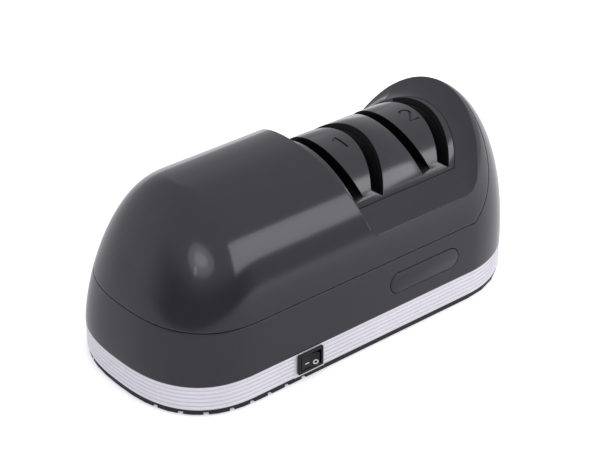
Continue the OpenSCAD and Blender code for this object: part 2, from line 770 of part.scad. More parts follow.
module shaft_bearings() color([0.7, 0.7, 0.74]) for (x = [front_block_x, tail_block_x])
    tube_x(x + 1, x + 1 + bearing_w, bearing_r, shaft_r + run_fit);

module dust_tray() color([0.3, 0.3, 0.32]) difference() {
    box(tray_x, [-1, 1] * tray_half_w, tray_z);
    box(tray_x + [1, -1] * tray_wall, [-1, 1] * (tray_half_w - tray_wall), tray_z + [tray_wall, 1]);
    box([-big, big], [-7, 7], [axis_z - 7, big]);
}

// ---- Electrics ----

module circuit_board() color([0.1, 0.35, 0.15])
    box(board_x, span(board_y, 0, board_t), board_z);

module board_components() color([0.15, 0.15, 0.17]) {
    translate([board_x[0] + 9, board_y, 22]) rotate([90, 0, 0]) cylinder(h = 9, r = 6);
    box(span(board_x[0], 19, 27), span(board_y, -5, 0), [14, 24]);
    box(span(board_x[0], 30, 40), span(board_y, -7, 0), [12, 20]);
    translate([board_x[0] + 35, board_y, 27]) rotate([90, 0, 0]) cylinder(h = 6, r = 4);
}

module cord_gland() color([0.04, 0.04, 0.04]) difference() {
    translate([gland_x, 0, gland_z]) rotate([-90, 0, 0]) {
        translate([0, 0, gland_seat_y]) cylinder(h = body_w / 2 + rocker_reach - gland_seat_y, r = gland_r);
        translate([0, 0, gland_seat_y - 3.5]) cylinder(h = 4, r = gland_neck_r);
        translate([0, 0, gland_seat_y - 4.4]) cylinder(h = 1.4, r = gland_collar_r);
    }
    translate([gland_x, 0, gland_z]) rotate([-90, 0, 0]) cylinder(h = big, r = gland_bore_r);
}

module cord_clamp() color([0.15, 0.15, 0.16]) difference() {
    box(about(gland_x, clamp_half_w), about(clamp_y, clamp_half_d), span(gland_z, 0, clamp_h));
    translate([gland_x, clamp_y - 2 * clamp_half_d, gland_z]) rotate([-90, 0, 0])
        cylinder(h = 4 * clamp_half_d, r = gland_bore_r);
    for (s = [-1, 1]) translate([gland_x + clamp_screw_x * s, clamp_y, gland_z - 1])
        cylinder(h = clamp_h + 2, r = m25_r + screw_fit);
}

// ---- Fasteners ----

module screw(x, y, seat_z, up, l, r, head_r) {
    translate([x, y, seat_z]) mirror([0, 0, up ? 1 : 0]) {
        cylinder(h = 1.6, r = head_r);
        translate([0, 0, -l]) cylinder(h = l + 0.5, r = r);
    }
}

module case_screws() color([0.6, 0.6, 0.62])
    for (x = [-boss_x, boss_x], y = [-boss_y, boss_y])
        screw(x, y, floor_z - 0.8, true, 16, m3_r, 2.8);

module inner_screws() color([0.6, 0.6, 0.62]) {
    for (x = saddle_xs, s = [-1, 1])
        screw(x + saddle_l / 2, s * strap_screw_y, cradle_top_z + strap_t, false, 10, m25_r, 2.4);
    for (x = [front_block_x, tail_block_x], s = [-1, 1])
        screw(x + block_l / 2, s * (block_half_w + 3), floor_z + 3, false, 2.9, m25_r, 2.4);
    for (s = [-1, 1])
        screw(gland_x + clamp_screw_x * s, clamp_y, gland_z + clamp_h, false, clamp_screw_l, m25_r, 2.4);
}

base_plate();
rubber_feet();
trim_band();
lower_housing();
upper_cover();
guide_cover();
stage_1_liner();
stage_2_liner();
badge_plate();
switch_housing();
switch_rocker();
switch_terminals();
motor_can();
motor_end_cap();
motor_magnets();
brush_holders();
carbon_brushes();
motor_bushes();
motor_cradle();
motor_straps();
motor_shaft();
rotor_core();
rotor_windings();
commutator();
cooling_fan();
shaft_coupling();
wheel_shaft();
coarse_wheel();
fine_wheel();
wheel_hubs();
wheel_spacer();
shaft_nut();
front_bearing_block();
tail_bearing_block();
shaft_bearings();
dust_tray();
circuit_board();
board_components();
cord_gland();
cord_clamp();
case_screws();
inner_screws();
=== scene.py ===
"""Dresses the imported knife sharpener: smooth shells, ribbed band, switch, badge and every inner part."""

import logging
import math
from dataclasses import dataclass
from enum import Enum

import bmesh
import bpy
from mathutils import Matrix, Vector


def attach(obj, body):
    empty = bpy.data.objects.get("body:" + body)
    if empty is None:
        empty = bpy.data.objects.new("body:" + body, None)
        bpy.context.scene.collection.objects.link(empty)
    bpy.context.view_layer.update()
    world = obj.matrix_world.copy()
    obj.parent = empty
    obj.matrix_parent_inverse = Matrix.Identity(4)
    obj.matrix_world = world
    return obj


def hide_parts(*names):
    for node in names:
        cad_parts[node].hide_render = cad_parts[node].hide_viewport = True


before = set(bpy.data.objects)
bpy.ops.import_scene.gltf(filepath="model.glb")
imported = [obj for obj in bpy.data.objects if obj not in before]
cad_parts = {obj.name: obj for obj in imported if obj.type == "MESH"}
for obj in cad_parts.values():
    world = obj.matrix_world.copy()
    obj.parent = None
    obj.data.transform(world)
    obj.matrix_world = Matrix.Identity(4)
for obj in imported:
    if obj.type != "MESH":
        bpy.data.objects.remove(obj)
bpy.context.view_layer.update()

Piece = bpy.types.Object
Tree = bpy.types.NodeTree
Node = bpy.types.Node
Socket = bpy.types.NodeSocket
Names = tuple[str, ...]
Pair = tuple[float, float]
Point = tuple[float, float, float]
Colour = tuple[float, float, float]

MM = 0.001
HOUSING = "housing"
ROCKER = "rocker"
WHITE: Colour = (1.0, 1.0, 1.0)
DUST_GREY: Colour = (0.5, 0.5, 0.5)
DUST_ROUGHNESS = 0.4
COAT_ROUGHNESS = 0.12
MOTTLE_GAIN = 3.0
RELIEF_MM = 0.1
EDGE_SAMPLES = 6
PAST_NOSE = -200.0
PAST_TAIL = 240.0
PAST_SIDE = 90.0
PAST_CROWN = 108.0
UNDER_RECESS = 20.0
log = logging.getLogger("knife_sharpener")


# ---- node helpers


def add_sockets(tree: Tree, inputs: dict[str, str], outputs: dict[str, str]) -> None:
    """Gives a node tree its named inputs and outputs.

    Args:
        tree: The node tree to extend.
        inputs: Socket type for each input name.
        outputs: Socket type for each output name.
    """
    for way, sockets in (("INPUT", inputs), ("OUTPUT", outputs)):
        for name, kind in sockets.items():
            tree.interface.new_socket(name=name, in_out=way, socket_type=kind)


def fill(tree: Tree, node: Node, inputs: dict[str | int, object]) -> Node:
    """Sets or links a node's inputs.

    Args:
        tree: The tree that holds the node.
        node: The node.
        inputs: A value or another node's socket, by the input's name or number.

    Returns:
        The same node.
    """
    for slot, value in inputs.items():
        if isinstance(value, Socket):
            tree.links.new(value, node.inputs[slot])
        else:
            node.inputs[slot].default_value = value
    return node


def add_node(tree: Tree, kind: str, inputs: dict[str | int, object], **settings: object) -> Node:
    """Adds a node to a tree.

    Args:
        tree: The tree that the node goes in.
        kind: The node's type.
        inputs: A value or another node's socket, by the input's name or number.
        settings: The node's own settings.

    Returns:
        The new node.
    """
    node = tree.nodes.new(kind)
    for name, value in settings.items():
        setattr(node, name, value)
    return fill(tree, node, inputs)


def math_node(tree: Tree, how: str, *values: object) -> Socket:
    """Adds a Math node for an operation on numbers or sockets, and gives its output."""
    return add_node(tree, "ShaderNodeMath", dict(enumerate(values)), operation=how).outputs[0]


def noise_node(tree: Tree, place: Socket, scale: object, detail: float) -> Socket:
    """Adds a Noise Texture over a place, and gives its factor."""
    inputs = {"Vector": place, "Scale": scale, "Detail": detail}
    return add_node(tree, "ShaderNodeTexNoise", inputs).outputs["Fac"]


def split_node(tree: Tree, vector: Socket, axis: int) -> Socket:
    """Takes one part, 0 to 2, out of a vector."""
    return add_node(tree, "ShaderNodeSeparateXYZ", {0: vector}).outputs[axis]


def mix_node(tree: Tree, share: Socket, a: object, b: object) -> Socket:
    """Mixes two colours or colour sockets by a mask, from a at 0 to b at 1."""
    ends = [(*end, 1.0) if isinstance(end, tuple) else end for end in (a, b)]
    return add_node(tree, "ShaderNodeMix", {0: share, 6: ends[0], 7: ends[1]}, data_type="RGBA").outputs[2]


def ramp_node(tree: Tree, value: Socket, ends: Pair) -> Socket:
    """Turns a value smoothly from 0 at the first end to 1 at the second."""
    inputs = {"Value": value, "From Min": ends[0], "From Max": ends[1]}
    return add_node(tree, "ShaderNodeMapRange", inputs, interpolation_type="SMOOTHSTEP").outputs[0]


# ---- finishes


class Pattern(Enum):
    """How the fine relief of a finish runs, by how much it is squeezed along X."""

    GRAIN = 1.0
    BRUSHED = 0.03


class FinishGroups:
    """The shader node groups that several finishes share."""

    FINE_DETAIL = 4.0
    BROAD_SCALE, BROAD_DETAIL = 38.0, 2.0
    # Painted highlight: the edge mask lightens the colour of sharp edges.
    WORN_FROM, WORN_TO = 0.52, 0.62
    WORN_SCALE, WORN_DETAIL, WORN_SPREAD, WORN_LEAST = 160.0, 3.0, 0.6, 0.7
    SPECK_SCALE, SPECK_DETAIL, SPECK_POWER = 95.0, 6.0, 2.0

    def __init__(self) -> None:
        """Builds each group once."""
        self.grain, self.wear, self.film = self._grain(), self._wear(), self._film()

    def _start(self, name: str, inputs: Names, outputs: Names) -> tuple[Tree, Node, Node]:
        """Makes an empty group with its ends.

        Args:
            name: The group's name.
            inputs: Names of its number inputs, which come after the vector input Place.
            outputs: Names of its number outputs.

        Returns:
            The tree, its input node and its output node.
        """
        tree = bpy.data.node_groups.new(name, "ShaderNodeTree")
        number = "NodeSocketFloat"
        given = {"Place": "NodeSocketVector", **dict.fromkeys(inputs, number)}
        add_sockets(tree, given, dict.fromkeys(outputs, number))
        return tree, tree.nodes.new("NodeGroupInput"), tree.nodes.new("NodeGroupOutput")

    def _grain(self) -> Tree:
        """Builds the relief of moulded or brushed surfaces.

        Returns:
            The group.
        """
        tree, source, end = self._start("SurfaceRelief", ("Scale", "Stretch"), ("Height", "Mottle"))
        place = source.outputs["Place"]
        squeeze = add_node(tree, "ShaderNodeCombineXYZ", {0: source.outputs["Stretch"], 1: 1.0, 2: 1.0})
        both = {0: place, 1: squeeze.outputs[0]}
        spread = add_node(tree, "ShaderNodeVectorMath", both, operation="MULTIPLY").outputs[0]
        fine = noise_node(tree, spread, source.outputs["Scale"], self.FINE_DETAIL)
        broad = noise_node(tree, place, self.BROAD_SCALE, self.BROAD_DETAIL)
        fill(tree, end, {"Height": fine, "Mottle": broad})
        return tree

    def _wear(self) -> Tree:
        """Builds the mask of sharp edges that get a painted highlight.

        Returns:
            The group.
        """
        tree, source, end = self._start("EdgeWear", ("Amount",), ("Mask",))
        corner = tree.nodes.new("ShaderNodeNewGeometry").outputs["Pointiness"]
        limits = {"Value": corner, "From Min": self.WORN_FROM, "From Max": self.WORN_TO}
        edge = add_node(tree, "ShaderNodeMapRange", limits).outputs[0]
        noise = noise_node(tree, source.outputs["Place"], self.WORN_SCALE, self.WORN_DETAIL)
        patchy = math_node(tree, "MULTIPLY_ADD", noise, self.WORN_SPREAD, self.WORN_LEAST)
        mask = math_node(tree, "MULTIPLY", edge, patchy)
        fill(tree, end, {"Mask": math_node(tree, "MULTIPLY", mask, source.outputs["Amount"])})
        return tree

    def _film(self) -> Tree:
        """Builds the mask of fine dust and faint hand marks.

        Returns:
            The group.
        """
        tree, source, end = self._start("DustFilm", ("Amount",), ("Mask",))
        normal = tree.nodes.new("ShaderNodeNewGeometry").outputs["Normal"]
        up = math_node(tree, "MAXIMUM", split_node(tree, normal, 2), 0.0)
        noise = noise_node(tree, source.outputs["Place"], self.SPECK_SCALE, self.SPECK_DETAIL)
        specks = math_node(tree, "POWER", noise, self.SPECK_POWER)
        mask = math_node(tree, "MULTIPLY", math_node(tree, "MULTIPLY", up, specks), source.outputs["Amount"])
        fill(tree, end, {"Mask": mask})
        return tree


@dataclass(frozen=True)
class Finish:
    """One surface finish: its gloss, fine relief, drift of tone, painted edge highlights, dust and softened
    edges.

    Colours are linear, and edge is in millimetres.
    """

    name: str
    colour: Colour
    roughness: float
    metallic: float = 0.0
    relief: float = 0.05
    scale: float = 900.0
    pattern: Pattern = Pattern.GRAIN
    mottle: float = 0.05
    coat: float = 0.0
    # Strength of the painted highlight on sharp edges.
    wear: float = 0.25
    dust: float = 0.05
    sheen_colour: Colour = (0.25, 0.25, 0.27)
    specular: float = 0.5
    edge: float = 0.0

    def material(self, groups: FinishGroups) -> bpy.types.Material:
        """Builds the material.

        Args:
            groups: The shared node groups.

        Returns:
            The new material.
        """
        made = bpy.data.materials.new(self.name)
        made.use_nodes = True
        made.diffuse_color = (*self.colour, 1.0)
        tree = made.node_tree
        place = tree.nodes.new("ShaderNodeTexCoord").outputs["Object"]

        def shared(group: Tree, **values: float) -> Node:
            """Places a shared group in the material."""
            return add_node(tree, "ShaderNodeGroup", {"Place": place, **values}, node_tree=group)

        relief = shared(groups.grain, Scale=self.scale, Stretch=self.pattern.value)
        mottle = relief.outputs["Mottle"]
        worn = shared(groups.wear, Amount=self.wear).outputs["Mask"]
        dust = shared(groups.film, Amount=self.dust).outputs["Mask"]
        lighter = tuple(min(1.0, c * (1.0 + MOTTLE_GAIN * self.mottle)) for c in self.colour)
        # Painted highlight: sharp edges are mixed towards a lighter colour.
        colour = mix_node(tree, worn, mix_node(tree, mottle, self.colour, lighter), self.sheen_colour)
        drift = math_node(tree, "MULTIPLY_ADD", mottle, self.mottle, self.roughness - self.mottle / 2)
        height = {"Strength": self.relief, "Distance": RELIEF_MM * MM, "Height": relief.outputs["Height"]}
        if self.edge:
            rounding = add_node(tree, "ShaderNodeBevel", {"Radius": self.edge * MM}, samples=EDGE_SAMPLES)
            height["Normal"] = rounding.outputs["Normal"]
        fill(tree, tree.nodes["Principled BSDF"], {
            "Base Color": mix_node(tree, dust, colour, DUST_GREY),
            "Roughness": math_node(tree, "MULTIPLY_ADD", dust, DUST_ROUGHNESS, drift),
            "Metallic": self.metallic, "Coat Weight": self.coat, "Coat Roughness": COAT_ROUGHNESS,
            "Specular IOR Level": self.specular,
            "Normal": add_node(tree, "ShaderNodeBump", height).outputs["Normal"],
        })
        return made


BRUSHED = Pattern.BRUSHED
CASE = Finish("anthracite_case", (0.0135, 0.013, 0.0175), 0.13, relief=0.03, scale=1400.0, mottle=0.02,
              wear=0.0, dust=0.015, edge=1.0)
GUIDE = Finish("anthracite_guide", (0.014, 0.0135, 0.018), 0.17, relief=0.04, scale=1400.0, mottle=0.02,
               wear=0.0, dust=0.015, edge=0.4)
BADGE = Finish("badge_gloss", (0.0135, 0.013, 0.0175), 0.15, relief=0.03, scale=1600.0, wear=0.0, edge=0.15)
# Painted shade: the walls inside the knife slots are coloured near black for the shade deep in them.
SLOT_WALL = Finish("slot_shadow_black", (0.002, 0.002, 0.002), 0.6, wear=0.0, dust=0.0, specular=0.1)
BAND = Finish("satin_silver_band", (0.71, 0.70, 0.73), 0.38, metallic=0.3, relief=0.06, scale=700.0,
              pattern=BRUSHED, mottle=0.04, wear=0.0, dust=0.02, edge=0.3)
BASE = Finish("base_plastic", (0.014, 0.014, 0.015), 0.5, relief=0.3, scale=1500.0, wear=0.0, dust=0.03,
              specular=0.3)
LINER = Finish("liner_black", (0.003, 0.003, 0.003), 0.5, relief=0.1, scale=1200.0, wear=0.0, dust=0.0,
               specular=0.15)
SWITCH = Finish("switch_black", (0.008, 0.008, 0.009), 0.42, relief=0.1, scale=1800.0, wear=0.0,
                specular=0.3, edge=0.3)
MARK = Finish("switch_mark", (0.62, 0.62, 0.62), 0.5, relief=0.02, wear=0.0)
# Painted shade: the engraved numbers are coloured near black for the shade in the engraving.
ENGRAVED = Finish("engraving_shadow", (0.006, 0.006, 0.008), 0.6, relief=0.02, wear=0.0)
RUBBER = Finish("soft_rubber", (0.018, 0.018, 0.018), 0.75, relief=0.4, scale=1100.0, wear=0.1, dust=0.3)
STEEL = Finish("plain_steel", (0.50, 0.50, 0.51), 0.28, metallic=1.0, relief=0.1, pattern=BRUSHED, wear=0.3,
               sheen_colour=(0.8, 0.8, 0.8))
ZINC = Finish("zinc_screw", (0.55, 0.55, 0.54), 0.33, metallic=1.0, relief=0.08, scale=1500.0)
BRASS = Finish("brass", (0.66, 0.46, 0.18), 0.3, metallic=1.0, relief=0.08)
BRONZE = Finish("sintered_bronze", (0.42, 0.27, 0.13), 0.45, metallic=1.0, relief=0.3, scale=2600.0)
COPPER = Finish("enamelled_copper", (0.50, 0.18, 0.06), 0.3, metallic=0.9, relief=0.6, scale=1200.0,
                pattern=BRUSHED)
CARBON = Finish("carbon_brush", (0.02, 0.02, 0.021), 0.6, metallic=0.2, relief=0.3, scale=2600.0)
FERRITE = Finish("ferrite", (0.045, 0.045, 0.05), 0.55, metallic=0.3, relief=0.3, scale=1800.0)
LAMINATION = Finish("laminated_core", (0.26, 0.27, 0.29), 0.4, metallic=1.0, relief=0.4, scale=1500.0)
COARSE_GRIT = Finish("coarse_grit", (0.20, 0.14, 0.11), 0.85, relief=1.0, scale=1500.0, mottle=0.25,
                     dust=0.4)
FINE_GRIT = Finish("fine_grit", (0.55, 0.53, 0.48), 0.8, relief=0.7, scale=3200.0, mottle=0.15, dust=0.3)
NYLON = Finish("white_nylon", (0.66, 0.65, 0.6), 0.42, relief=0.1, dust=0.3)
TRAY = Finish("tray_plastic", (0.03, 0.03, 0.032), 0.45, relief=0.2, dust=0.5)
BOARD = Finish("board_lacquer", (0.02, 0.11, 0.04), 0.3, relief=0.1, scale=500.0, coat=0.4)
COMPONENT = Finish("component_black", (0.03, 0.03, 0.035), 0.35, relief=0.1)

NODES_BY_FINISH: dict[Finish, str] = {
    BASE: "base_plate motor_cradle front_bearing_block tail_bearing_block cord_clamp",
    RUBBER: "rubber_feet cord_gland",
    LINER: "stage_1_liner stage_2_liner",
    BRASS: "switch_terminals brush_holders",
    STEEL: "motor_can motor_straps motor_shaft shaft_coupling wheel_shaft wheel_spacer shaft_bearings",
    SWITCH: "motor_end_cap",
    FERRITE: "motor_magnets",
    CARBON: "carbon_brushes",
    BRONZE: "motor_bushes",
    LAMINATION: "rotor_core",
    COPPER: "rotor_windings commutator",
    NYLON: "cooling_fan",
    COARSE_GRIT: "coarse_wheel",
    FINE_GRIT: "fine_wheel",
    TRAY: "wheel_hubs dust_tray",
    ZINC: "shaft_nut case_screws inner_screws",
    BOARD: "circuit_board",
    COMPONENT: "board_components",
}


class Dresser:
    """Makes each finish once and hands it out."""

    def __init__(self) -> None:
        """Builds the shared groups."""
        self.groups = FinishGroups()
        self.made: dict[Finish, bpy.types.Material] = {}

    def material(self, finish: Finish) -> bpy.types.Material:
        """Gives the material of a finish, made at its first use."""
        made = self.made.get(finish) or finish.material(self.groups)
        return self.made.setdefault(finish, made)

    def dress(self, piece: Piece, finish: Finish) -> None:
        """Gives a whole piece one finish."""
        piece.data.materials.clear()
        piece.data.materials.append(self.material(finish))

    def declare(self, piece: Piece, finish: Finish, slot: str, smooth: float, node: str = "",
                body: str = HOUSING) -> None:
        """Args:
            piece: The finished mesh.
            finish: Its finish.
            slot: The record's material slot; not used.
            smooth: Edges sharper than this many degrees stay sharp.
            node: The CAD node that it stands for, or nothing.
            body: The body that it rides on.
        """
        piece.data.shade_smooth()
        piece.data.set_sharp_from_angle(angle=math.radians(smooth))
        self.dress(piece, finish)
        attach(piece, body)
        if node:
            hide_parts(node)
        log.info("%s: %d faces", piece.name, len(piece.data.polygons))


# ---- mesh helpers


class Carve(Enum):
    """What a tool does to a piece."""

    CUT = "DIFFERENCE"
    JOIN = "UNION"
    KEEP = "INTERSECT"


def link(name: str, data: bpy.types.ID) -> Piece:
    """Makes an object and links it to the scene.

    Args:
        name: The object's name.
        data: Its mesh, light or camera.

    Returns:
        The new object.
    """
    piece = bpy.data.objects.new(name, data)
    bpy.context.scene.collection.objects.link(piece)
    return piece


def new_piece(name: str, points: list[Point], faces: list[tuple[int, ...]]) -> Piece:
    """Makes a mesh object from points in millimetres.

    Args:
        name: The object's name.
        points: Corners, in millimetres.
        faces: Faces as lists of corner numbers.

    Returns:
        The new object, linked to the scene.
    """
    mesh = bpy.data.meshes.new(name)
    mesh.from_pydata([tuple(c * MM for c in p) for p in points], [], faces)
    piece = link(name, mesh)
    tidy_mesh(piece, 0.0)
    return piece


def tidy_mesh(piece: Piece, weld: float) -> None:
    """Merges doubles and turns every face outwards.

    Args:
        piece: The mesh object.
        weld: Distance in millimetres under which corners are merged, or 0 for none.
    """
    shape = bmesh.new()
    shape.from_mesh(piece.data)
    if weld:
        bmesh.ops.remove_doubles(shape, verts=shape.verts, dist=weld * MM)
        bmesh.ops.dissolve_degenerate(shape, edges=shape.edges, dist=weld * MM / 4)
    bmesh.ops.recalc_face_normals(shape, faces=shape.faces)
    shape.to_mesh(piece.data)
    shape.free()


def loft(rings: list[list[Point]], name: str = "tool") -> Piece:
    """Makes a closed solid through a list of equal rings.

    Args:
        rings: Rings of points in millimetres, from the first end to the last.
        name: The object's name.

    Returns:
        The new object.
    """
    count = len(rings[0])
    points = [p for ring in rings for p in ring]
    faces = [tuple(reversed(range(count)))]
    for low in range(0, len(points) - count, count):
        high = low + count
        faces += [(low + i, low + (i + 1) % count, high + (i + 1) % count, high + i) for i in range(count)]
    faces.append(tuple(range(len(points) - count, len(points))))
    return new_piece(name, points, faces)


def side_prism(outline: list[Pair]) -> Piece:
    """Makes a prism from an outline in X and Z that reaches past both sides of the body."""
    return loft([[(x, y, z) for x, z in outline] for y in (-PAST_SIDE, PAST_SIDE)])


def upright(outline: list[Pair], low: float, high: float, name: str = "tool") -> Piece:
    """Makes a prism from an outline in X and Y between two heights."""
    return loft([[(x, y, z) for x, y in outline] for z in (low, high)], name)


def plain_box(low: Point, high: Point, name: str = "tool") -> Piece:
    """Makes a box between two corners, in millimetres."""
    return upright(corners(low[:2], high[:2]), low[2], high[2], name)


def corners(low: Pair, high: Pair) -> list[Pair]:
    """Gives the four corners between two opposite ones."""
    return [(low[0], low[1]), (high[0], low[1]), (high[0], high[1]), (low[0], high[1])]


def circle(middle: Pair, radius: float, steps: int) -> list[Pair]:
    """Gives the points of a circle."""
    turns = [math.tau * i / steps for i in range(steps)]
    return [(middle[0] + radius * math.cos(q), middle[1] + radius * math.sin(q)) for q in turns]


def bake_modifiers(piece: Piece) -> None:
    """Turns a piece's modifiers into its plain mesh.

    Args:
        piece: The mesh object.
    """
    depsgraph = bpy.context.evaluated_depsgraph_get()
    mesh = bpy.data.meshes.new_from_object(piece.evaluated_get(depsgraph))
    piece.modifiers.clear()
    piece.data = mesh


def carve(piece: Piece, tool: Piece, how: Carve = Carve.CUT) -> None:
    """Cuts, joins or intersects a piece with a tool, which is used up.

    Args:
        piece: The piece that is changed.
        tool: The closed solid that changes it.
        how: What the tool does.
    """
    modifier = piece.modifiers.new("carve", "BOOLEAN")
    modifier.operation = how.value
    modifier.solver = "MANIFOLD"
    modifier.object = tool
    bake_modifiers(piece)
    bpy.data.objects.remove(tool)


def soften(piece: Piece, width: float, angle: float | None, segments: int = 2) -> None:
    """Rounds edges of a piece.

    Args:
        piece: The mesh object.
        width: Width of the rounding, in millimetres.
        angle: Edges sharper than this many degrees are rounded, or None for the edges that have a weight.
        segments: Steps in the rounding.
    """
    modifier = piece.modifiers.new("soften", "BEVEL")
    modifier.width = width * MM
    modifier.segments = segments
    modifier.limit_method = "WEIGHT" if angle is None else "ANGLE"
    modifier.angle_limit = math.radians(angle or 0.0)
    modifier.use_clamp_overlap = angle is not None
    bake_modifiers(piece)


# ---- forms


@dataclass(frozen=True)
class BodyForm:
    """The body's outer form, in millimetres."""

    length: float = 227.0
    width: float = 103.7
    band_top: float = 16.2
    crown: float = 95.39
    arch_power: float = 2.3
    nose_depth: float = 44.0
    nose_power: float = 2.5
    nose_run: float = 38.0
    nose_side_power: float = 1.45
    tail_radius: float = 50.0
    tail_run: float = 34.0
    tail_side_power: float = 2.3
    wall: float = 2.4
    nose_steps: int = 44
    side_steps: int = 24
    corner_steps: int = 26
    levels: int = 84
    last_rise: float = 0.99985

    def _rise(self, z: float, inset: float) -> float:
        """Gives how far z lies between the band and the crown, 0 to 1."""
        return min(1.0, max(0.0, (z - self.band_top) / (self.crown - inset - self.band_top)))

    def _arc(self, share: float, power: float) -> float:
        """Gives the height of a superellipse's arc over a share of its run."""
        return max(0.0, 1.0 - share**power) ** (1.0 / power)

    def half_width(self, z: float, inset: float = 0.0) -> float:
        """Gives half of the body's width at height z."""
        return (self.width / 2 - inset) * self._arc(self._rise(z, inset), self.arch_power)

    def outline(self, z: float, inset: float = 0.0) -> list[Pair]:
        """Gives the plan outline at a height.

        Args:
            z: Height in millimetres.
            inset: How far the outline is drawn in.

        Returns:
            Points anticlockwise from above, the same number at every height.
        """
        w = self.half_width(z, inset)
        k = w / (self.width / 2)
        depth, radius = self.nose_depth * k, self.tail_radius * k
        rise = self._rise(z, inset)
        nose = -self.length / 2 + inset + self.nose_run * (1 - self._arc(rise, self.nose_side_power))
        tail = self.length / 2 - inset - self.tail_run * (1 - self._arc(rise, self.tail_side_power))
        e = 2 / self.nose_power
        ring = []
        for i in range(self.nose_steps, -self.nose_steps - 1, -1):
            q = math.pi / 2 * i / self.nose_steps
            across = math.copysign(abs(math.sin(q)) ** e, q)
            ring.append((nose + depth * (1 - max(0.0, math.cos(q)) ** e), w * across))
        start, end = nose + depth, tail - radius
        shares = [i / self.side_steps for i in range(1, self.side_steps)]
        ring += [(start + (end - start) * share, -w) for share in shares]
        for side in (-1, 1):
            for i in range(self.corner_steps + 1):
                q = math.pi / 2 * (i / self.corner_steps - (side < 0))
                ring.append((end + radius * math.cos(q), side * (w - radius) + radius * math.sin(q)))
        return ring + [(end + (start - end) * share, w) for share in shares]

    def solid(self, inset: float, bottom: float, name: str = "tool") -> Piece:
        """Makes the body's solid.

        Args:
            inset: How far the skin is drawn in.
            bottom: Lowest height.
            name: The object's name.

        Returns:
            The closed solid.
        """
        span = self.crown - inset - self.band_top
        heights = [bottom] if bottom < self.band_top else []
        for i in range(self.levels + 1):
            share = min(self.last_rise, math.sin(math.pi / 2 * i / self.levels))
            heights.append(self.band_top + span * share)
        return loft([[(x, y, z) for x, y in self.outline(z, inset)] for z in heights], name)

    def front_y(self, z: float) -> float:
        """Gives the front skin's Y at height z."""
        return -self.half_width(z)


@dataclass(frozen=True)
class SeamForm:
    """The seam between housing and cover, in millimetres."""

    height: float = 42.2
    gap: float = 0.5
    turn_x: float = 68.0
    reach: float = 23.0
    rise: float = 15.0
    spread: float = 1.3
    steps: int = 90

    def above(self, shift: float) -> Piece:
        """Makes the room above the seam.

        Args:
            shift: How far the room is drawn in.

        Returns:
            The closed solid.
        """
        low, path = self.height, []
        for i in range(self.steps + 1):
            over = (PAST_CROWN - low) * (i / self.steps) ** self.spread
            x = self.turn_x + self.reach * (1 - math.exp(-over / self.rise)) - shift
            path.append((x, low + over + shift))
        return side_prism([(PAST_NOSE, low + shift), *path, (PAST_NOSE, PAST_CROWN)])


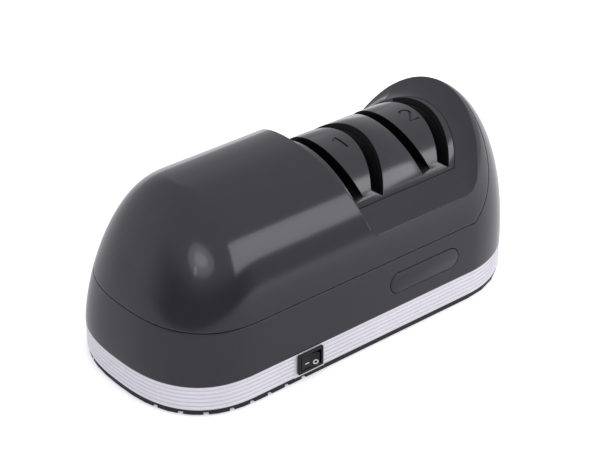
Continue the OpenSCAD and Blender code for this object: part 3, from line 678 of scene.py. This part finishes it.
@dataclass(frozen=True)
class RecessForm:
    """The recess behind the dome and the hill that fills it, in millimetres and degrees."""

    cut_x: float = 4.0
    cut_lean: float = 0.27
    cut_curve: float = 0.0022
    cut_steps: int = 58
    cut_step: float = 1.5
    foot_z: float = 57.2
    crease_y: float = 35.2
    crease_z: float = 67.0
    top: float = 85.0
    axis_z: float = 48.0
    end_x: float = 66.0
    end_lean: float = 0.78
    end_steps: int = 24
    hill_x: float = -60.0
    flare_x: float = 64.0
    flare_lean: float = 0.4
    flare_run: float = 14.5
    flare_last: float = 18.5
    flare_rise: float = 9.5
    flare_power: float = 6.0
    flare_inner: float = 0.7
    flare_steps: int = 36
    blend_most: float = 9.0
    blend_run: float = 9.0
    blend_reach: float = 9.0
    fillet: float = 2.2
    fillet_slack: float = 0.25
    fillet_span: Pair = (0.3, 8.0)
    fillet_least: float = 20.0
    fillet_steps: int = 5
    flat_most: float = 0.2
    arch_steps: int = 120
    side_steps: int = 60
    slope_steps: int = 16

    @property
    def arch_height(self) -> float:
        """Gives the arch's height over its centre."""
        return self.top - self.axis_z

    @property
    def arch_half(self) -> float:
        """Gives the arch's half width at its centre."""
        return self.crease_y / math.sqrt(1 - ((self.crease_z - self.axis_z) / self.arch_height) ** 2)

    def arch_z(self, y: float, grow: float = 0.0) -> float:
        """Gives the height of the arch, swollen by grow, at y."""
        return self.axis_z + (self.arch_height + grow) * math.sqrt(1 - (y / (self.arch_half + grow)) ** 2)

    def cut_at(self, z: float) -> float:
        """Gives the X of the dome's cut face at height z."""
        h = z - self.foot_z
        return self.cut_x - self.cut_lean * h - self.cut_curve * h * max(h, 0.0)

    def arch(self, grow: float, ends: Pair, name: str = "tool") -> Piece:
        """Makes a solid with the arch's section.

        Args:
            grow: How far the section is swollen.
            ends: The X of its two ends.
            name: The object's name.

        Returns:
            The closed solid.
        """
        half, high = self.arch_half + grow, self.arch_height + grow
        turns = [math.pi * i / self.arch_steps for i in range(self.arch_steps + 1)]
        curve = [(half * math.cos(q), self.axis_z + high * math.sin(q)) for q in turns]
        ring = [(half, UNDER_RECESS), *curve, (-half, UNDER_RECESS)]
        return loft([[(x, y, z) for y, z in ring] for x in ends], name)

    def section(self, foot_y: float, grow: float, blend: float) -> list[Pair]:
        """Gives the hill's section in Y and Z: the arch with a flare on each side.

        Args:
            foot_y: Half width of the body at the flare's foot.
            grow: How far the section is swollen.
            blend: How softly the arch runs into the flare.

        Returns:
            The section's points from +Y over the top to -Y.
        """
        dy, dz = foot_y - self.crease_y, self.crease_z - self.foot_z
        n = math.hypot(dy, dz)
        corner, level = self.crease_y + grow * dz / n, self.crease_z + grow * dy / n
        half = self.arch_half + grow
        turn = math.asin(corner / half) / self.side_steps
        across = [half * math.sin(turn * i) for i in range(self.side_steps + 1)]
        across += [corner + 2 * dy * (i / self.slope_steps) ** 2 for i in range(1, self.slope_steps + 1)]
        side = []
        for y in across:
            flare = level - dz / dy * max(y - corner, -self.blend_reach)
            arch = self.arch_z(y, grow) if y < half else UNDER_RECESS
            near = max(0.0, blend - abs(arch - flare))
            side.append((y, max(arch, flare) + (near * near / (4 * blend) if blend else 0.0)))
        reach = side[-1][0]
        left = [(-y, z) for y, z in side[1:]]
        return [(reach, UNDER_RECESS), *reversed(side), *left, (-reach, UNDER_RECESS)]

    def hill(self, foot_y: float, grow: float) -> Piece:
        """Makes the hill under the guide module.

        Args:
            foot_y: Half width of the body at the flare's foot.
            grow: How far the hill is swollen.

        Returns:
            The closed solid.
        """
        start = self.flare_x - self.flare_inner * grow
        runs = [self.flare_last * i / self.flare_steps for i in range(self.flare_steps + 1)]
        stations = [(self.hill_x, 0.0), *[(start + run, run) for run in runs], (PAST_TAIL, self.flare_last)]
        rings = []
        for x, run in stations:
            soft = self.blend_most * min(1.0, run / self.blend_run)
            swell = self.flare_rise * (run / self.flare_run) ** self.flare_power
            section = self.section(foot_y, grow + swell, soft)
            rings.append([(x + self.flare_lean * (z - self.crease_z), y, z) for y, z in section])
        return loft(rings)

    def behind_cut(self, shift: float) -> Piece:
        """Makes the room on the tail side of the dome's cut face.

        Args:
            shift: How far the room is drawn in.

        Returns:
            The closed solid.
        """
        heights = [UNDER_RECESS + self.cut_step * i for i in range(self.cut_steps + 1)]
        path = [(self.cut_at(z) + shift, z) for z in heights]
        return side_prism([*path, (PAST_TAIL, heights[-1]), (PAST_TAIL, UNDER_RECESS)])

    def module_room(self, gap: float) -> Piece:
        """Makes the room of the guide module.

        Args:
            gap: How far the room is drawn in.

        Returns:
            The closed solid.
        """
        low = self.crease_z + gap
        heights = [low + (PAST_CROWN - low) * i / self.end_steps for i in range(self.end_steps + 1)]
        path = [(self.cut_at(z) + gap, z) for z in heights]
        end = [(self.end_x + self.end_lean * (z - self.crease_z) - gap, z) for z in (PAST_CROWN, low)]
        return side_prism([*path, *end])


@dataclass(frozen=True)
class SlotForm:
    """The knife slots of both stages, in millimetres and degrees."""

    floor: float = 70.0
    widths: Pair = (5.4, 6.3)
    leans: Pair = (-11.0, 34.0)
    yaw: float = 5.0
    stages: Pair = (15.0, 58.0)
    pair: float = 11.0
    half_length: float = 52.0
    depth: float = 40.0
    slack: Pair = (0.02, 0.05)
    wall_most: float = 0.7
    both: tuple[tuple[int, int], ...] = ((0, 0), (0, 1), (1, 0), (1, 1))

    def _turn(self, side: int) -> Matrix:
        """Gives how a slot is turned, 0 for the dome side and 1 for the tail side."""
        lean = Matrix.Rotation(math.radians(self.leans[side]), 3, "Y")
        return Matrix.Rotation(math.radians(-self.yaw), 3, "Z") @ lean

    def _foot(self, stage: int, side: int) -> Vector:
        """Gives the middle of a slot's foot."""
        return Vector((self.stages[stage] + (side - 0.5) * self.pair, 0.0, self.floor))

    def cutter(self, stage: int, side: int) -> Piece:
        """Makes one slot's cutting block.

        Args:
            stage: 0 for the first stage, 1 for the second.
            side: 0 for the dome side, 1 for the tail side.

        Returns:
            The closed solid.
        """
        half, reach = self.widths[side] / 2, self.half_length
        block = plain_box((-half, -reach, 0.0), (half, reach, self.depth))
        block.data.transform(Matrix.Translation(self._foot(stage, side) * MM) @ self._turn(side).to_4x4())
        return block

    def holds(self, face: bpy.types.MeshPolygon) -> bool:
        """Tells whether a face is a wall inside any slot.

        Args:
            face: The face.

        Returns:
            True for a wall or foot of a slot below its rounded lip.
        """
        for stage, side in self.both:
            back = self._turn(side).transposed()
            place = back @ (face.center / MM - self._foot(stage, side))
            inside = abs(place.x) < self.widths[side] / 2 + self.slack[0] and place.z > -self.slack[1]
            if inside and (back @ face.normal).z < self.wall_most:
                return True
        return False


@dataclass(frozen=True)
class StageNumbers:
    """The engraved stage numbers, in millimetres and degrees."""

    recess: RecessForm = RecessForm()
    depth: float = 0.5
    stroke: float = 1.25
    proud: float = 2.0
    places: tuple[Pair, Pair] = ((20.0, -4.0), (63.5, -4.0))
    one: tuple[Pair, ...] = ((0.0, -5.0), (0.0, 5.0), (-2.6, 2.9))
    bow_z: float = 2.4
    bow_radius: float = 2.6
    bow_turns: range = range(170, -36, -10)
    foot: tuple[Pair, Pair] = ((-2.9, -4.8), (3.0, -4.8))
    room: Pair = (5.0, 7.0)
    slack: Pair = (0.05, 0.1)

    def cutters(self) -> list[Piece]:
        """Makes the cutting solids of both numbers.

        Returns:
            The closed solids.
        """
        turns = [math.radians(q) for q in self.bow_turns]
        r = self.bow_radius
        two = [*[(r * math.cos(q), self.bow_z + r * math.sin(q)) for q in turns], *self.foot]
        paths = zip(self.places, (self.one, two))
        return [self._stroke([(x + a, y + b) for a, b in path]) for (x, y), path in paths]

    def _stroke(self, path: list[Pair]) -> Piece:
        """Makes an engraving tool along a path on the module's crown.

        Args:
            path: Points in X and Y.

        Returns:
            The closed solid.
        """
        left, right = [], []
        h = self.stroke / 2
        for i, (x, y) in enumerate(path):
            a, b = path[max(0, i - 1)], path[min(len(path) - 1, i + 1)]
            ux, uy = b[0] - a[0], b[1] - a[1]
            n = math.hypot(ux, uy)
            left.append((x - uy / n * h, y + ux / n * h))
            right.append((x + uy / n * h, y - ux / n * h))
        ring = left + right[::-1]
        low = [(x, y, self.recess.arch_z(y) - self.depth) for x, y in ring]
        return loft([low, [(x, y, self.recess.top + self.proud) for x, y in ring]])

    def holds(self, face: bpy.types.MeshPolygon) -> bool:
        """Tells whether a face lies in the engraving of a number.

        Args:
            face: The face.

        Returns:
            True for a face below the crown and near a number.
        """
        spot = face.center / MM
        near = any(abs(spot.x - x) < self.room[0] and abs(spot.y - y) < self.room[1] for x, y in self.places)
        return near and self.slack[0] < self.recess.arch_z(spot.y) - spot.z < self.depth + self.slack[1]


# ---- shells


@dataclass
class Shells:
    """The moulded shells: lower housing, upper cover and guide module, in millimetres and degrees."""

    dresser: Dresser
    body: BodyForm = BodyForm()
    seam: SeamForm = SeamForm()
    recess: RecessForm = RecessForm()
    slots: SlotForm = SlotForm()
    numbers: StageNumbers = StageNumbers()
    core_drop: float = 3.0
    module_wall: float = 2.4
    module_gap: float = 0.25
    module_ends: Pair = (-100.0, 200.0)
    core_ends: Pair = (-110.0, 210.0)
    lip: float = 0.45
    lip_least: float = 32.0
    module_weld: float = 0.01
    weld: float = 0.004
    smooth: float = 28.0

    @property
    def foot_y(self) -> float:
        """Gives the body's half width at the flare's foot."""
        return self.body.half_width(self.recess.foot_z)

    def _core(self) -> Piece:
        """Makes the solid that hollows a shell."""
        return self.body.solid(self.body.wall, self.body.band_top - self.core_drop)

    def _room(self, inset: float) -> Piece:
        """Makes the room of the recess: all behind the cut face but the hill.

        Args:
            inset: How far the recess is drawn in.

        Returns:
            The closed solid.
        """
        room = self.recess.behind_cut(-inset)
        carve(room, self.recess.hill(self.foot_y, -inset))
        return room

    def build_cover(self) -> None:
        """Makes the upper cover with its dome, recess and tail flare."""
        cover = self.body.solid(0.0, self.body.band_top, "upper_cover_shell")
        carve(cover, self.seam.above(self.seam.gap), Carve.KEEP)
        core = self._core()
        carve(core, self._room(self.body.wall))
        outer = self._room(0.0)
        self._ease_foot(outer)
        for tool in (outer, core, self.recess.module_room(0.0)):
            carve(cover, tool)
        self._finish(cover, CASE, "upper_cover")

    def _ease_foot(self, cutter: Piece) -> None:
        """Rounds the corner in which the dome's cut face meets the flare.

        Args:
            cutter: The solid that the recess is cut with.
        """
        form = self.recess
        near, far = form.crease_y + form.fillet_span[0], self.foot_y + form.fillet_span[1]
        shape = bmesh.new()
        shape.from_mesh(cutter.data)
        flat = math.radians(form.flat_most)
        bmesh.ops.dissolve_limit(shape, angle_limit=flat, verts=shape.verts, edges=shape.edges)
        weight = shape.edges.layers.float.new("bevel_weight_edge")
        count = 0
        for line in shape.edges:
            ends = [v.co / MM for v in line.verts]
            at_cut = all(abs(end.x - form.cut_at(end.z)) < form.fillet_slack for end in ends)
            at_foot = near < abs(ends[0].y + ends[1].y) / 2 < far
            if at_cut and at_foot and line.calc_face_angle(0.0) > math.radians(form.fillet_least):
                line[weight] = 1.0
                count += 1
        shape.to_mesh(cutter.data)
        shape.free()
        soften(cutter, form.fillet, None, form.fillet_steps)
        log.info("recess foot: %d edges rounded", count)

    def build_housing(self, badge: Piece, inlet: Piece) -> None:
        """Makes the lower housing with its tail wall.

        Args:
            badge: The solid that the badge's seat is cut with.
            inlet: The solid that the cord inlet's seat is cut with.
        """
        housing = self.body.solid(0.0, self.body.band_top, "lower_housing_shell")
        for tool in (self.seam.above(0.0), self._core(), badge, inlet):
            carve(housing, tool)
        self._finish(housing, CASE, "lower_housing")

    def build_module(self) -> Piece:
        """Makes the guide module with its slots and engraved numbers.

        Returns:
            The finished piece.
        """
        module = self.recess.arch(0.0, self.module_ends, "guide_module")
        carve(module, self.recess.arch(-self.module_wall, self.core_ends))
        carve(module, self.recess.module_room(self.module_gap), Carve.KEEP)
        for stage, side in self.slots.both:
            carve(module, self.slots.cutter(stage, side))
        tidy_mesh(module, self.module_weld)
        soften(module, self.lip, self.lip_least)
        for digit in self.numbers.cutters():
            carve(module, digit)
        self._finish(module, GUIDE, "guide_cover")
        # Painted shade: slot walls and number engravings take the near-black shade finishes.
        for number, (finish, form) in enumerate(((SLOT_WALL, self.slots), (ENGRAVED, self.numbers)), 1):
            module.data.materials.append(self.dresser.material(finish))
            for face in module.data.polygons:
                if form.holds(face):
                    face.material_index = number
        return module

    def _finish(self, piece: Piece, finish: Finish, node: str) -> None:
        """Tidies, shades and dresses a shell, attaches it to the housing and hides the CAD node that it
        stands for.
        """
        tidy_mesh(piece, self.weld)
        self.dresser.declare(piece, finish, "case", self.smooth, node)


# ---- badge, inlet and switch


@dataclass
class Badge:
    """The bare oval badge on the front, in millimetres."""

    dresser: Dresser
    body: BodyForm = BodyForm()
    x: float = 33.0
    z: float = 29.4
    length: float = 44.0
    height: float = 10.4
    groove: float = 0.38
    proud: float = 0.1
    deep: float = 1.2
    crown_inset: float = 0.35
    crown_deep: float = 0.4
    clear: float = 2.0
    rounding: float = 0.12
    sharp: float = 50.0
    smooth: float = 45.0
    steps: int = 64

    def _solid(self, grow: float, out: float, into: float, name: str = "tool") -> Piece:
        """Makes a pill that follows the front skin.

        Args:
            grow: How far its outline is swollen.
            out: How far it stands out of the skin.
            into: How far it goes into the skin.
            name: The object's name.

        Returns:
            The closed solid.
        """
        r, run = self.height / 2 + grow, (self.length - self.height) / 2
        turns = [math.pi * (i / self.steps - 0.5) for i in range(self.steps + 1)]
        ring = [(run + r * math.cos(q), r * math.sin(q)) for q in turns]
        ring += [(-a, b) for a, b in reversed(ring)]
        spots = [(self.x + a, self.body.front_y(self.z + b), self.z + b) for a, b in ring]
        return loft([[(x, y + depth, z) for x, y, z in spots] for depth in (-out, into)], name)

    def seat(self) -> Piece:
        """Makes the solid that cuts the badge's seat."""
        return self._solid(self.groove, self.clear, self.deep)

    def build(self) -> None:
        """Makes the badge plate."""
        plate = self._solid(0.0, 0.0, self.deep, "badge_face")
        carve(plate, self._solid(-self.crown_inset, self.proud, self.crown_deep), Carve.JOIN)
        soften(plate, self.rounding, self.sharp)
        self.dresser.declare(plate, BADGE, "badge", self.smooth, "badge_plate")


@dataclass
class CordInlet:
    """The cord inlet's seat in the back wall, in millimetres."""

    x: float = -70.0
    z: float = 30.5
    flange: float = 7.1
    neck: float = 5.1
    seat_top: float = 7.0
    seat_deep: float = 0.6
    reach: float = 6.0
    steps: int = 72
    body: BodyForm = BodyForm()

    def seat(self) -> Piece:
        """Makes the solid that cuts the inlet's seat and hole.

        Returns:
            The closed solid.
        """
        y = self.body.half_width(self.z + self.seat_top) - self.seat_deep
        ends = ((self.neck, y - self.reach), (self.neck, y), (self.flange, y), (self.flange, y + self.reach))
        rings = [(circle((self.x, self.z), radius, self.steps), at) for radius, at in ends]
        return loft([[(x, at, z) for x, z in ring] for ring, at in rings])


@dataclass
class RockerSwitch:
    """The rocker switch in the band, in millimetres and degrees."""

    dresser: Dresser
    x: float = -40.0
    skin_y: float = -51.85
    z: float = 10.3
    bezel_w: float = 15.0
    bezel_h: float = 10.6
    bezel_round: float = 0.45
    proud: float = 1.6
    depth: float = 12.0
    rear_inset: Pair = (0.8, 0.6)
    rear_lap: float = 0.5
    back_wall: float = 2.0
    lead_in: float = 0.35
    rim: float = 1.4
    rocker_h: float = 7.4
    rocker_proud: float = 0.7
    rocker_round: float = 0.35
    rocker_steps: int = 16
    foot: tuple[Pair, ...] = ((2.6, 2.4), (0.0, 3.0), (-2.6, 2.4))
    foot_y: float = -2.0
    dish: float = 1.0
    dish_power: float = 1.6
    gap: float = 0.3
    axis_y: float = 3.8
    throw: float = 20.0
    dash: tuple[Pair, Pair] = ((-2.6, -1.0), (-0.3, -0.45))
    ring_middle: Pair = (3.0, -1.1)
    ring_radii: Pair = (1.3, 0.75)
    ring_steps: int = 40
    print_span: Pair = (-0.04, 0.15)
    hole_span: Pair = (-1.0, 1.0)
    sharp: float = 30.0
    smooth: float = 35.0

    @property
    def face_y(self) -> float:
        """Gives how far the rocker's face ends lie from its axis."""
        return self.axis_y + self.proud + self.rocker_proud

    @property
    def rocker_half(self) -> float:
        """Gives half of the rocker's length, with its clearance in the well at either end of the throw."""
        turn = math.radians(self.throw / 2)
        return (self.bezel_w / 2 - self.rim - self.gap - self.face_y * math.sin(turn)) / math.cos(turn)

    def _finish(self, piece: Piece, finish: Finish, body: str, node: str = "") -> None:
        """Places, shades and dresses a piece of the switch and attaches it to its body.

        Args:
            piece: The piece, made round the skin's point behind the bezel, or round the rocker's axis.
            finish: Its finish.
            body: The body that it rides on.
            node: The CAD node that it stands for, or nothing.
        """
        spot = Matrix.Translation(Vector((self.x, self.skin_y, self.z)) * MM)
        if body == ROCKER:
            axis = Matrix.Translation(Vector((0, self.axis_y, 0)) * MM)
            spot = spot @ axis @ Matrix.Rotation(math.radians(-self.throw / 2), 4, "Z")
        piece.data.transform(spot)
        self.dresser.declare(piece, finish, "black_plastic", self.smooth, node, body)

    def _bezel(self) -> None:
        """Makes the bezel with the switch body behind it."""
        w, h = self.bezel_w / 2, self.bezel_h / 2
        bezel = plain_box((-w, -self.proud, -h), (w, 0.0, h), "switch_bezel")
        soften(bezel, self.bezel_round, self.sharp, 4)
        a, b = w - self.rear_inset[0], h - self.rear_inset[1]
        carve(bezel, plain_box((-a, -self.rear_lap, -b), (a, self.depth, b)), Carve.JOIN)
        a, b = w - self.rim, self.rocker_h / 2 + self.gap
        carve(bezel, plain_box((-a, -self.proud - 1, -b), (a, self.depth - self.back_wall, b)))
        mouth = [(self.lead_in, -0.01), (0.0, self.lead_in)]
        carve(bezel, loft([
            [(x, -self.proud + deep, z) for x, z in corners((-a - out, -b - out), (a + out, b + out))]
            for out, deep in mouth]))
        self._finish(bezel, SWITCH, HOUSING, "switch_housing")

    def _face_y(self, x: float) -> float:
        """Gives the rocker face's Y before it is turned."""
        return -self.face_y + self.dish * (1 - (abs(x) / self.rocker_half) ** self.dish_power)

    def _rocker(self) -> None:
        """Makes the rocker with its dished face."""
        b, h, n = self.rocker_half, self.rocker_h / 2, self.rocker_steps
        face = [(b * i / n, self._face_y(b * i / n)) for i in range(-n, n + 1)]
        outline = [*face, (b, self.foot_y), *self.foot, (-b, self.foot_y)]
        rocker = upright(outline, -h, h, "switch_rocker_cap")
        soften(rocker, self.rocker_round, self.sharp, 3)
        self._finish(rocker, SWITCH, ROCKER, "switch_rocker")

    def _print(self, outline: list[Pair], span: Pair, name: str = "tool") -> Piece:
        """Makes a block under an outline in X and Z that follows the rocker's face."""
        return loft([[(x, self._face_y(x) + out, z) for x, z in outline] for out in span], name)

    def build(self) -> None:
        """Makes the bezel, the rocker and its printed dash and ring."""
        self._bezel()
        self._rocker()
        dash = self._print(corners(*self.dash), self.print_span, "switch_mark_on")
        outer, inner = (circle(self.ring_middle, radius, self.ring_steps) for radius in self.ring_radii)
        ring = self._print(outer, self.print_span, "switch_mark_off")
        carve(ring, self._print(inner, self.hole_span))
        for mark in (dash, ring):
            self._finish(mark, MARK, ROCKER)


# ---- band


@dataclass
class TrimBand:
    """The ribbed silver band round the foot, in millimetres and degrees."""

    dresser: Dresser
    switch: RockerSwitch
    body: BodyForm = BodyForm()
    bottom: float = 3.2
    top: float = 16.2
    wall: float = 2.2
    proud: float = 0.5
    ribs: int = 6
    rib_share: float = 0.80
    rib_depth: float = 1.5
    profile_steps: int = 20
    pad: float = 1.5
    lap: Pair = (0.6, 0.4)
    clear: float = 2.0
    hole_deep: float = 6.0
    rib_deep: float = 3.0
    over: float = 20.0
    rib_weld: float = 0.001
    weld: float = 0.002
    smooth: float = 40.0

    def _rib_tree(self) -> Tree:
        """Builds the node tree that stacks rounded ribs along the band's outline.

        Returns:
            The node tree.
        """
        tree = bpy.data.node_groups.new("BandRibs", "GeometryNodeTree")
        shape = "NodeSocketGeometry"
        sizes = dict.fromkeys(("Pitch", "Width", "Depth"), "NodeSocketFloat")
        inputs = {"Outline": shape, "Count": "NodeSocketInt", **sizes, "Finish": "NodeSocketMaterial"}
        add_sockets(tree, inputs, {"Ribs": shape})
        source, end = tree.nodes.new("NodeGroupInput").outputs, tree.nodes.new("NodeGroupOutput")

        def step(kind: str, **inputs: object) -> Socket:
            """Adds one geometry node, and gives its first output."""
            named = {name.replace("_", " "): value for name, value in inputs.items()}
            return add_node(tree, f"GeometryNode{kind}", named).outputs[0]

        size = add_node(tree, "ShaderNodeCombineXYZ", {0: source["Depth"], 1: source["Width"], 2: 1.0})
        pitch = add_node(tree, "ShaderNodeCombineXYZ", {2: source["Pitch"]})
        path = step("MeshToCurve", Mesh=source["Outline"])
        profile = step("CurvePrimitiveCircle", Resolution=self.profile_steps, Radius=0.5)
        profile = step("Transform", Geometry=profile, Scale=size.outputs[0])
        rib = step("CurveToMesh", Curve=path, Profile_Curve=profile)
        stack = step("MeshLine", Count=source["Count"], Offset=pitch.outputs[0])
        ribs = step("RealizeInstances", Geometry=step("InstanceOnPoints", Points=stack, Instance=rib))
        fill(tree, end, {"Ribs": step("SetMaterial", Geometry=ribs, Material=source["Finish"])})
        return tree

    def _ribs(self) -> Piece:
        """Makes the ribs from the node tree, as a plain mesh.

        Returns:
            The ribs.
        """
        pitch, depth = (self.top - self.bottom) / self.ribs, self.rib_depth * self.proud
        ring = self.body.outline(self.top, depth / 2)
        mesh = bpy.data.meshes.new("trim_band_ribs")
        points = [(x * MM, y * MM, (self.bottom + pitch / 2) * MM) for x, y in ring]
        mesh.from_pydata(points, [(i, (i + 1) % len(ring)) for i in range(len(ring))], [])
        ribs = link("trim_band_ribs", mesh)
        modifier = ribs.modifiers.new("ribs", "NODES")
        modifier.node_group = self._rib_tree()
        values = {"Count": self.ribs, "Pitch": pitch * MM, "Width": self.rib_share * pitch * MM,
                  "Depth": depth * MM, "Finish": self.dresser.material(BAND)}
        for item in modifier.node_group.interface.items_tree:
            if item.in_out == "INPUT" and item.name in values:
                modifier[item.identifier] = values[item.name]
        bake_modifiers(ribs)
        tidy_mesh(ribs, self.rib_weld)
        return ribs

    def build(self) -> None:
        """Makes the band, its ribs and the smooth pad round the switch."""
        switch, low = self.switch, self.body.front_y(self.top)
        half, high = switch.bezel_w / 2, switch.bezel_h / 2 - self.lap[1]
        left, right = switch.x - half - self.pad, switch.x + half + self.pad
        core = upright(self.body.outline(self.top, self.proud), self.bottom, self.top, "trim_band_core")
        carve(core, upright(self.body.outline(self.top, self.proud + self.wall), 0.0, self.over))
        ribs = self._ribs()
        carve(core, plain_box((left, low, self.bottom), (right, low + self.wall, self.top)), Carve.JOIN)
        near, far, out = switch.x - half + self.lap[0], switch.x + half - self.lap[0], low - self.clear
        hole = plain_box((near, out, switch.z - high), (far, low + self.hole_deep, switch.z + high))
        carve(core, hole)
        carve(ribs, plain_box((left, out, 0.0), (right, low + self.rib_deep, self.over)))
        for piece, node in ((core, "trim_band"), (ribs, "")):
            tidy_mesh(piece, self.weld)
            self.dresser.declare(piece, BAND, "band", self.smooth, node)


# ---- studio


class Outline(Enum):
    """A soft light's outline."""

    BOX = "RECTANGLE"
    OVAL = "ELLIPSE"


class Reach(Enum):
    """Which pieces a soft light reaches."""

    ALL = ""
    MODULE = "INCLUDE"
    REST = "EXCLUDE"


@dataclass(frozen=True)
class Softbox:
    """One soft light, in metres and watts."""

    name: str
    place: Point
    aim: Point
    size: Pair
    power: float
    outline: Outline = Outline.BOX
    reach: Reach = Reach.ALL

    def hang(self, tint: Colour, module: Piece) -> None:
        """Hangs the light.

        Args:
            tint: Its colour.
            module: The guide module, which some lights reach alone or leave out.
        """
        lamp = bpy.data.lights.new(self.name, "AREA")
        lamp.shape = self.outline.value
        lamp.size, lamp.size_y = self.size
        lamp.energy = self.power
        lamp.color = tint
        light = link(self.name, lamp)
        light.location = self.place
        light.rotation_euler = (Vector(self.aim) - Vector(self.place)).to_track_quat("-Z", "Y").to_euler()
        if self.reach is not Reach.ALL:
            group = bpy.data.collections.new(f"{self.name}_reach")
            group.objects.link(module)
            light.light_linking.receiver_collection = group
            group.collection_objects[0].light_linking.link_state = self.reach.value


NOSE: Point = (-0.09, -0.03, 0.07)
SOFTBOXES = (
    Softbox("shoulder_box", (0.62, -1.25, 0.75), (0.62, 0.0, 0.75), (1.16, 0.64), 6.2, reach=Reach.REST),
    Softbox("crown_box", (0.90, -0.60, 1.06), (0.90, -0.03, 0.075), (1.5, 0.42), 8.0, reach=Reach.MODULE),
    Softbox("nose_glow", (-0.92, -0.62, 0.72), NOSE, (1.0, 0.42), 1.3, Outline.OVAL),
    Softbox("nose_core", (-0.90, -0.60, 0.70), NOSE, (0.50, 0.18), 0.35, Outline.OVAL),
    Softbox("nose_spark", (-1.05, -0.50, 0.56), NOSE, (0.05, 0.03), 0.06, Outline.OVAL),
)


@dataclass
class Studio:
    """The pale floor, the soft lights and the camera, in metres and degrees."""

    target: Point = (-0.0024, 0.0, 0.045)
    azimuth: float = -39.9
    elevation: float = 30.9
    distance: float = 0.949
    lens: float = 117.3
    sensor: float = 36.0
    clip: Pair = (0.01, 50.0)
    floor_half: float = 3.0
    floor_tone: float = 0.93
    floor_roughness: float = 0.9
    floor_glow: float = 0.35
    side_glow: float = 0.50
    side_reach: Pair = (-0.1, 0.5)
    tent_tone: float = 0.93
    tint: Colour = (0.985, 0.97, 1.04)
    rear_tone: float = 0.74
    rear_heading: float = 140.0
    rear_sides: Pair = (0.2, 0.9)
    gap_tone: float = 0.28
    gap_heading: float = -42.0
    gap_sides: Pair = (0.0, 0.65)
    gap_heights: Pair = (0.48, 0.16)

    def build(self, module: Piece) -> None:
        """Makes the floor, the world, the camera and the lights.

        Args:
            module: The guide module, which has its own shoulder light.
        """
        self._floor()
        self._world()
        self._camera()
        for box in SOFTBOXES:
            box.hang(self.tint, module)
        log.info("studio built")

    def _floor(self) -> None:
        """Makes the pale floor, which glows to the camera and towards the tail."""
        half = self.floor_half / MM
        ring = [(x, y, 0.0) for x, y in corners((-half, -half), (half, half))]
        floor = new_piece("floor", ring, [(0, 1, 2, 3)])
        paint = bpy.data.materials.new("floor_white")
        paint.use_nodes = True
        tree = paint.node_tree
        eye = tree.nodes.new("ShaderNodeLightPath").outputs["Is Camera Ray"]
        place = tree.nodes.new("ShaderNodeNewGeometry").outputs["Position"]
        side = ramp_node(tree, split_node(tree, place, 0), self.side_reach)
        side = math_node(tree, "MULTIPLY", side, self.side_glow)
        fill(tree, tree.nodes["Principled BSDF"], {
            "Base Color": (self.floor_tone, self.floor_tone, self.floor_tone, 1.0),
            "Roughness": self.floor_roughness,
            "Emission Color": (*WHITE, 1.0),
            "Emission Strength": math_node(tree, "MULTIPLY_ADD", eye, self.floor_glow, side),
        })
        floor.data.materials.append(paint)

    def _world(self) -> None:
        """Makes the surroundings: a bright tent with a dark gap low on the camera's side."""
        world = bpy.data.worlds.new("studio")
        world.use_nodes = True
        tree = world.node_tree
        view = tree.nodes.new("ShaderNodeTexCoord").outputs["Generated"]
        eye = tree.nodes.new("ShaderNodeLightPath").outputs["Is Camera Ray"]
        ahead = ramp_node(tree, self._along(tree, view, math.radians(self.gap_heading)), self.gap_sides)
        low = ramp_node(tree, split_node(tree, view, 2), self.gap_heights)
        gap = math_node(tree, "MULTIPLY", ahead, low)
        tone = math_node(tree, "MULTIPLY_ADD", gap, self.gap_tone - self.tent_tone, self.tent_tone)
        rear = ramp_node(tree, self._along(tree, view, math.radians(self.rear_heading)), self.rear_sides)
        tone = math_node(tree, "MULTIPLY_ADD", rear, self.rear_tone - self.tent_tone, tone)
        tinted = add_node(tree, "ShaderNodeVectorMath", {0: self.tint, "Scale": tone}, operation="SCALE")
        seen = mix_node(tree, eye, tinted.outputs["Vector"], WHITE)
        fill(tree, tree.nodes["Background"], {"Color": seen, "Strength": 1.0})
        bpy.context.scene.world = world

    def _along(self, tree: Tree, view: Socket, heading: float) -> Socket:
        """Measures how far a direction points along a level heading, in radians from -Y towards +X."""
        both = {0: view, 1: (math.sin(heading), -math.cos(heading), 0.0)}
        return add_node(tree, "ShaderNodeVectorMath", both, operation="DOT_PRODUCT").outputs["Value"]

    def _camera(self) -> None:
        """Sets the camera at the photograph's angle."""
        a, e = math.radians(self.azimuth), math.radians(self.elevation)
        back = Vector((math.sin(a) * math.cos(e), -math.cos(a) * math.cos(e), math.sin(e)))
        data = bpy.data.cameras.new("camera")
        data.lens, data.sensor_width = self.lens, self.sensor
        data.clip_start, data.clip_end = self.clip
        camera = link("camera", data)
        camera.location = Vector(self.target) + back * self.distance
        camera.rotation_euler = (-back).to_track_quat("-Z", "Y").to_euler()
        bpy.context.scene.camera = camera
        bpy.context.scene.view_settings.view_transform = "Standard"


# ---- whole


def dress_nodes(dresser: Dresser) -> None:
    """Gives every CAD node that stays its finish.

    Args:
        dresser: Hands out the materials.
    """
    for finish, names in NODES_BY_FINISH.items():
        for name in names.split():
            dresser.dress(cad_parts[name], finish)
            log.info("%s: %s", name, finish.name)


def main() -> None:
    """Builds every sub-assembly in order."""
    logging.basicConfig(level=logging.INFO, format="%(message)s")
    dresser = Dresser()
    dress_nodes(dresser)
    badge, switch, shells = Badge(dresser), RockerSwitch(dresser), Shells(dresser)
    shells.build_cover()
    shells.build_housing(badge.seat(), CordInlet().seat())
    module = shells.build_module()
    badge.build()
    TrimBand(dresser, switch).build()
    switch.build()
    Studio().build(module)


if __name__ == "__main__":
    main()
